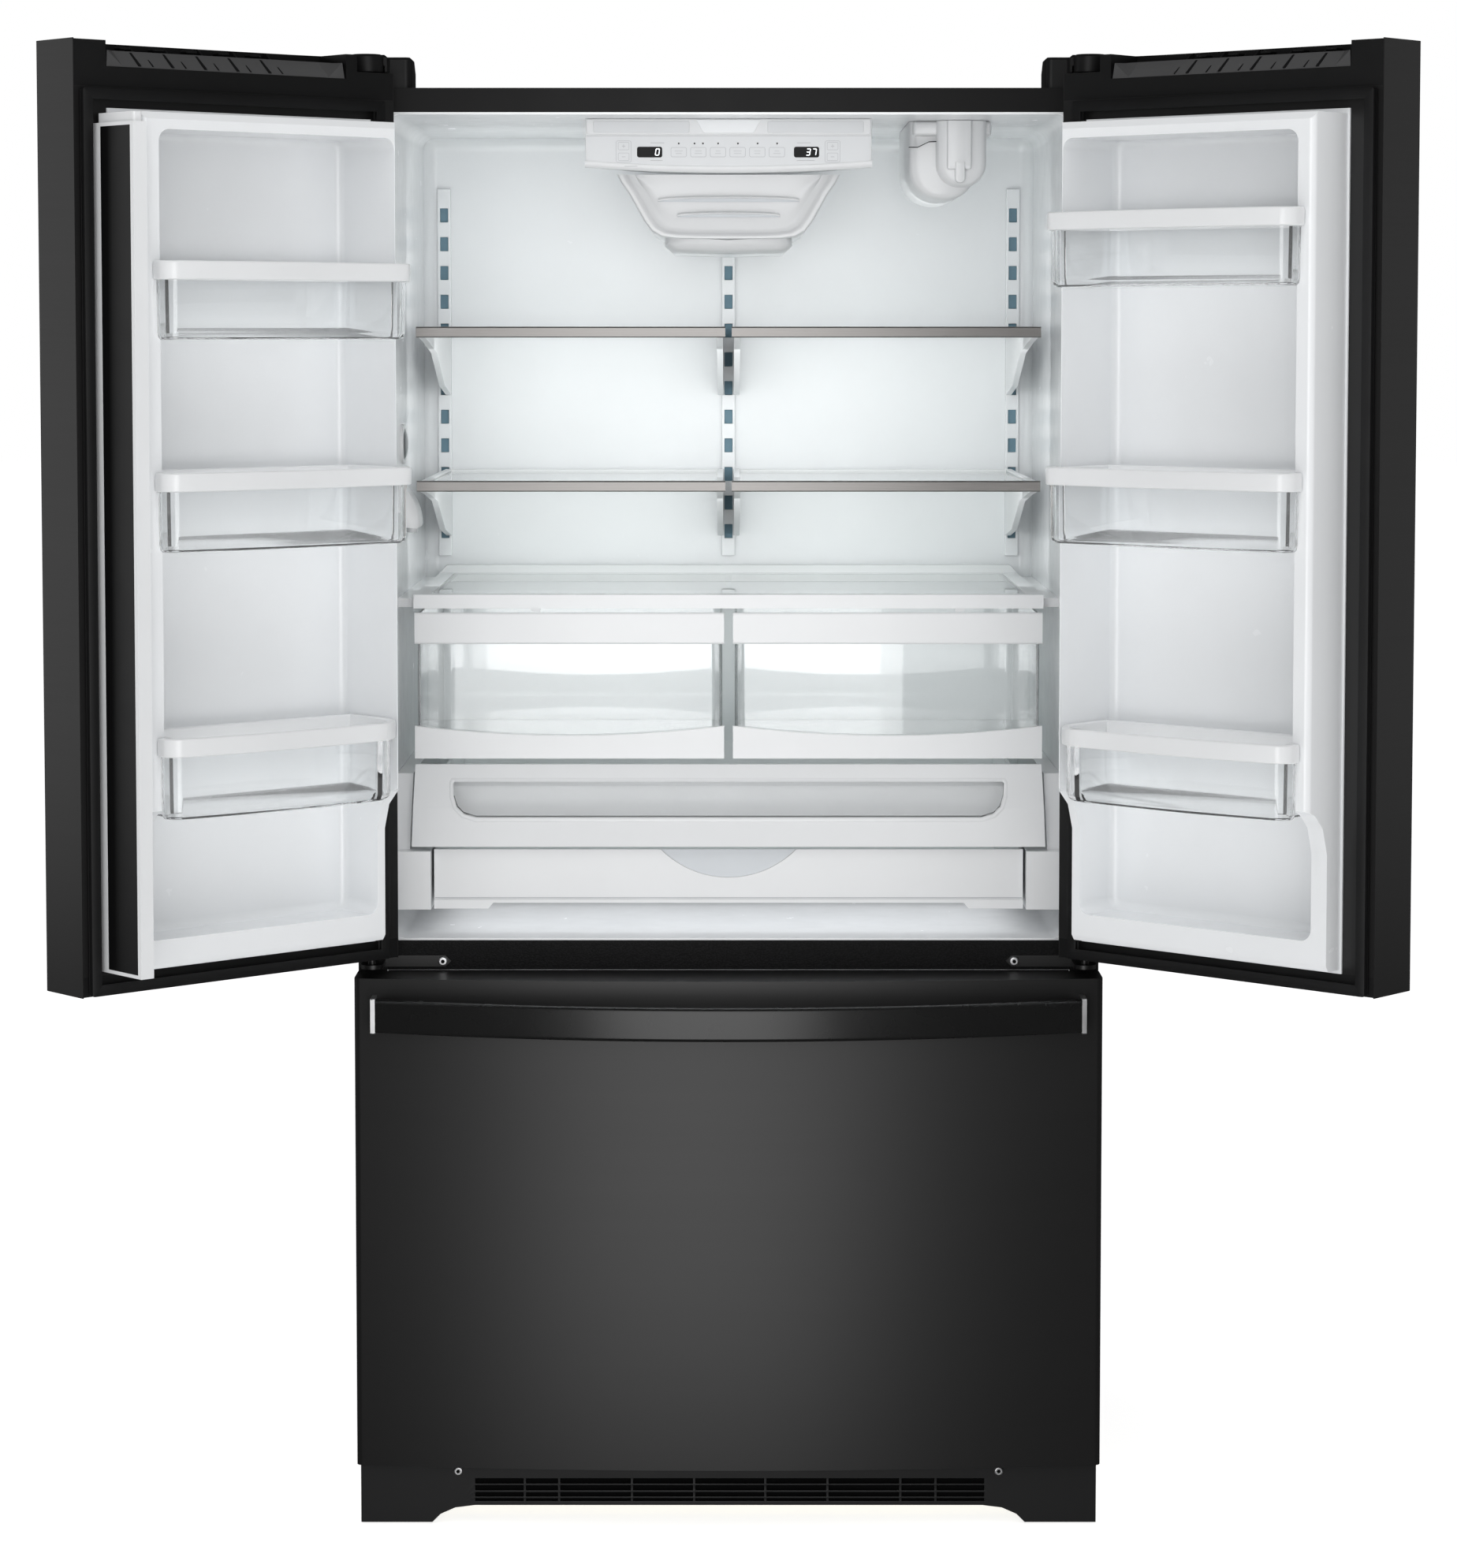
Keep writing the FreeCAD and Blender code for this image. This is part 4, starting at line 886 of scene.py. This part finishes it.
def build_cabinet_details():
    """Small pieces on the cabinet, from painted shade in the ladder slots to painted shade in the frame
    screws' sockets.
    """
    # painted shade: blue-grey insets on the slot floors stand in for the shade inside the ladder slots
    bm = bmesh.new()
    for x in LADDER_X:
        for k in range(LADDER_SLOTS):
            z = FIRST_SLOT + k * SLOT_PITCH
            slab(bm, (x - 5.3, x + 5.3), (596.0, 597.1), (z + 0.2, z + 18.8), 0.8, 0.2, 2)
    piece("ladder_slot_painted_shade", bm, "slot_shade_blue", "cabinet", slot="grey_plastic")
    # painted shade: a near-black sheet behind the base grille stands in for the shade seen through its slots
    bm = bmesh.new()
    slab(bm, (-330.0, 330.0), (-41.6, -40.4), (25.5, 60.0), 2.0, 0.3, 2)
    piece("grille_painted_shade", bm, "painted_shade_black", "cabinet", slot="grey_grille")
    # painted shade: a black strip on the freezer flange just under the rail stands in for the shade in the
    # gap above the drawer
    bm = bmesh.new()
    slab(bm, (-416.0, 416.0), (-0.25, 0.0), (664.5, 675.8), 0.6, 0.1, 2)
    piece("freezer_flange_painted_shade", bm, "black_plastic", "cabinet", slot="black_plastic")
    bm = bmesh.new()
    lip = [(392.0, 1126.0), (392.0, 1129.0), (383.0, 1138.5)]
    lip += [(-x, z) for x, z in reversed(lip)]
    loft(bm, [[(x, y, z) for x, z in lip] for y in (570.0, 583.0)], cap=(True, True))
    piece("crisper_cover_rear_lip", bm, "white_plastic", "cabinet", bevel=1.2, slot="white_plastic")
    # painted shade: near-black discs stand in for the shade in the sockets of the frame screws
    bm = bmesh.new()
    for x, y, z in ((-349.0, -7.0, 687.0), (349.0, -7.0, 687.0), (-330.0, -50.0, 66.0), (330.0, -50.0, 66.0)):
        turned(bm, (x, y, z), [(-0.05, 2.3), (-0.12, 2.1), (0.4, 1.6)], (0, 1, 0), 20)
    piece("screw_socket_painted_shade", bm, "painted_shade_black", "cabinet", slot="black_plastic")


def build_rear_details():
    """The back of the case: stiffening beads, the machine cover's edge, screws and the water inlet valve."""
    back = CASE_BACK
    bm = bmesh.new()
    for z in (500.0, 780.0, 1060.0, 1340.0, 1620.0):
        slab(bm, (-372.0, 372.0), (back - 0.1, back + 1.5), (z, z + 16.0), 8.0, 0.8)
    outline(bm, (-432.0, 432.0), (back - 0.1, back + 1.3), (82.0, 330.0), 12.0, 9.0)
    piece("rear_beads", bm, "galvanised", "cabinet", slot="galvanised")
    places = [(x, z) for x in (-440.0, 440.0) for z in (360.0, 640.0, 920.0, 1200.0, 1480.0, 1710.0)]
    places += [(x, 1734.0) for x in (-300.0, -100.0, 100.0, 300.0)]
    places += [(x, z) for z in (316.0, 92.0) for x in (-400.0, 0.0, 400.0)]
    bm = bmesh.new()
    for x, z in places:
        turned(bm, (x, back, z), [(-0.2, 6.6), (0.5, 6.6), (0.9, 6.2)], (0, 1, 0), 24)
        turned(bm, (x, back + 0.8, z), [(0.0, 4.4), (2.2, 4.4), (2.9, 3.7)], (0, 1, 0), 6)
    piece("rear_screws", bm, "zinc_steel", "cabinet", None, 30.0, slot="zinc_steel")
    bm = bmesh.new()
    slab(bm, (-420.0, -372.0), (back - 0.1, back + 7.0), (384.0, 440.0), 5.0, 1.2)
    turned(bm, (-396.0, back + 5.0, 412.0), [(0.0, 17.0), (5.0, 16.0), (9.0, 12.0), (10.0, 9.0)], (0, 1, 0))
    piece("water_inlet_valve", bm, "grey_plastic", "cabinet", slot="grey_plastic")
    bm = bmesh.new()
    profile = [(0.0, 6.0), (7.0, 6.0), (8.0, 7.4), (13.0, 7.4), (14.0, 6.6), (14.2, 3.2), (8.0, 3.0)]
    turned(bm, (-396.0, back + 7.5, 388.0), profile, (0, 0, -1))
    piece("water_inlet_nut", bm, "zinc_steel", "cabinet", slot="zinc_steel")


# ---- stage ---------------------------------------------------------------------------------------
LENS, SENSOR, SHIFT = 90.9, 36.0, -0.12  # the first two in millimetres, the shift in picture widths
CAMERA_DISTANCE, CAMERA_HEIGHT = 4.803, 1.4517  # metres, in front of the flange and over the floor
CAMERA_TILT = math.radians(3.782)  # downwards


def build_camera():
    """The photo's camera: straight in front of the middle plane, tipped down a little."""
    camera = bpy.data.objects.new("camera", bpy.data.cameras.new("camera"))
    bpy.context.scene.collection.objects.link(camera)
    camera.data.lens = LENS
    camera.data.sensor_width = SENSOR
    camera.data.shift_y = SHIFT
    camera.location = (0.0, FRONT - CAMERA_DISTANCE, CAMERA_HEIGHT)
    camera.rotation_euler = (math.pi / 2 - CAMERA_TILT, 0.0, 0.0)
    bpy.context.scene.camera = camera


def area_light(name, size, place, facing, power, lights=("diffuse", "glossy")):
    """A rectangular softbox that no camera sees; lights says which kinds of surface it reaches."""
    data = bpy.data.lights.new(name, "AREA")
    data.shape = "RECTANGLE"
    data.size, data.size_y = size
    data.energy = power
    lamp = bpy.data.objects.new(name, data)
    bpy.context.scene.collection.objects.link(lamp)
    lamp.location = place
    lamp.rotation_euler = Vector(facing).to_track_quat("-Z", "Y").to_euler()
    lamp.visible_camera = False
    lamp.visible_diffuse = "diffuse" in lights
    lamp.visible_glossy = "glossy" in lights


def build_floor():
    """A pale floor that glows a little, so that it runs into the background."""
    mesh = bpy.data.meshes.new("floor")
    reach = 40.0
    corners = [(-reach, -reach, 0), (reach, -reach, 0), (reach, reach, 0), (-reach, reach, 0)]
    mesh.from_pydata(corners, [], [(0, 1, 2, 3)])
    piece = bpy.data.objects.new("floor", mesh)
    bpy.context.scene.collection.objects.link(piece)
    piece.location.z = -0.0005
    n = Nodes("pale_floor")
    seen = n.add("ShaderNodeLightPath").outputs["Is Camera Ray"]
    tone = n.ramp(n.noise(n.position(), 0.4), [(0.3, (0.86, 0.86, 0.86)), (0.7, (0.88, 0.88, 0.88))])
    n.shader(Base_Color=tone, Roughness=0.7, Emission_Color=(1.0, 1.0, 1.0, 1.0),
             Emission_Strength=n.spread(seen, 0.62, 0.8))
    mesh.materials.append(n.material)
    piece.visible_glossy = False


def build_stage():
    """The floor, a white surround that is dimmer in reflections and as light, and the softboxes."""
    build_floor()
    world = bpy.data.worlds.new("studio")
    bpy.context.scene.world = world
    world.use_nodes = True
    tree = world.node_tree
    tree.nodes.clear()
    path = tree.nodes.new("ShaderNodeLightPath")

    def white(strength):
        node = tree.nodes.new("ShaderNodeBackground")
        node.inputs["Color"].default_value = (1.0, 1.0, 1.0, 1.0)
        node.inputs["Strength"].default_value = strength
        return node

    shade = white(0.3)
    for ray, strength in (("Is Glossy Ray", 0.05), ("Is Camera Ray", 1.0)):
        mix = tree.nodes.new("ShaderNodeMixShader")
        tree.links.new(path.outputs[ray], mix.inputs[0])
        tree.links.new(shade.outputs[0], mix.inputs[1])
        tree.links.new(white(strength).outputs[0], mix.inputs[2])
        shade = mix
    tree.links.new(shade.outputs[0], tree.nodes.new("ShaderNodeOutputWorld").inputs["Surface"])
    bpy.context.scene.view_settings.view_transform = "Standard"

    front, diffuse, glossy = FRONT, ("diffuse",), ("glossy",)
    area_light("fill", (5.0, 4.0), (0.0, front - 5.6, 2.2), (0, 1, -0.15), 84.0, diffuse)
    area_light("above", (3.0, 2.0), (0.0, front - 1.8, 4.0), (0, 0.45, -1), 40.0, diffuse)
    area_light("mouth", (0.7, 1.0), (0.0, front - 0.3, 1.25), (0, 1, 0), 0.35, diffuse)
    area_light("under_pantry", (0.72, 0.25), (0.0, front + 0.17, 0.744), (0, 0, -1), 0.44, diffuse)
    area_light("cavity", (0.78, 0.5), (0.0, front + 0.28, 1.37), (0, 1, 0), 1.8, diffuse)
    area_light("crisper", (0.74, 0.09), (0.0, front + 0.104, 1.016), (0, 1, 0), 0.12, diffuse)
    area_light("sheen", (0.72, 2.1), (-0.08, front - 1.3, 0.85), (0, 1, 0), 12.5, glossy)
    area_light("left", (1.4, 2.0), (-3.2, 0.3, 1.4), (1, -0.05, -0.05), 7.5)
    area_light("right", (1.4, 2.0), (3.2, 0.3, 1.4), (-1, -0.05, -0.05), 3.5)


dress_nodes()
build_gaskets()
build_control_panel()
build_air_duct()
build_filter()
build_dispenser()
build_pantry_details()
build_bins()
build_handles()
build_cap_pockets()
build_cabinet_details()
build_rear_details()
build_camera()
build_stage()
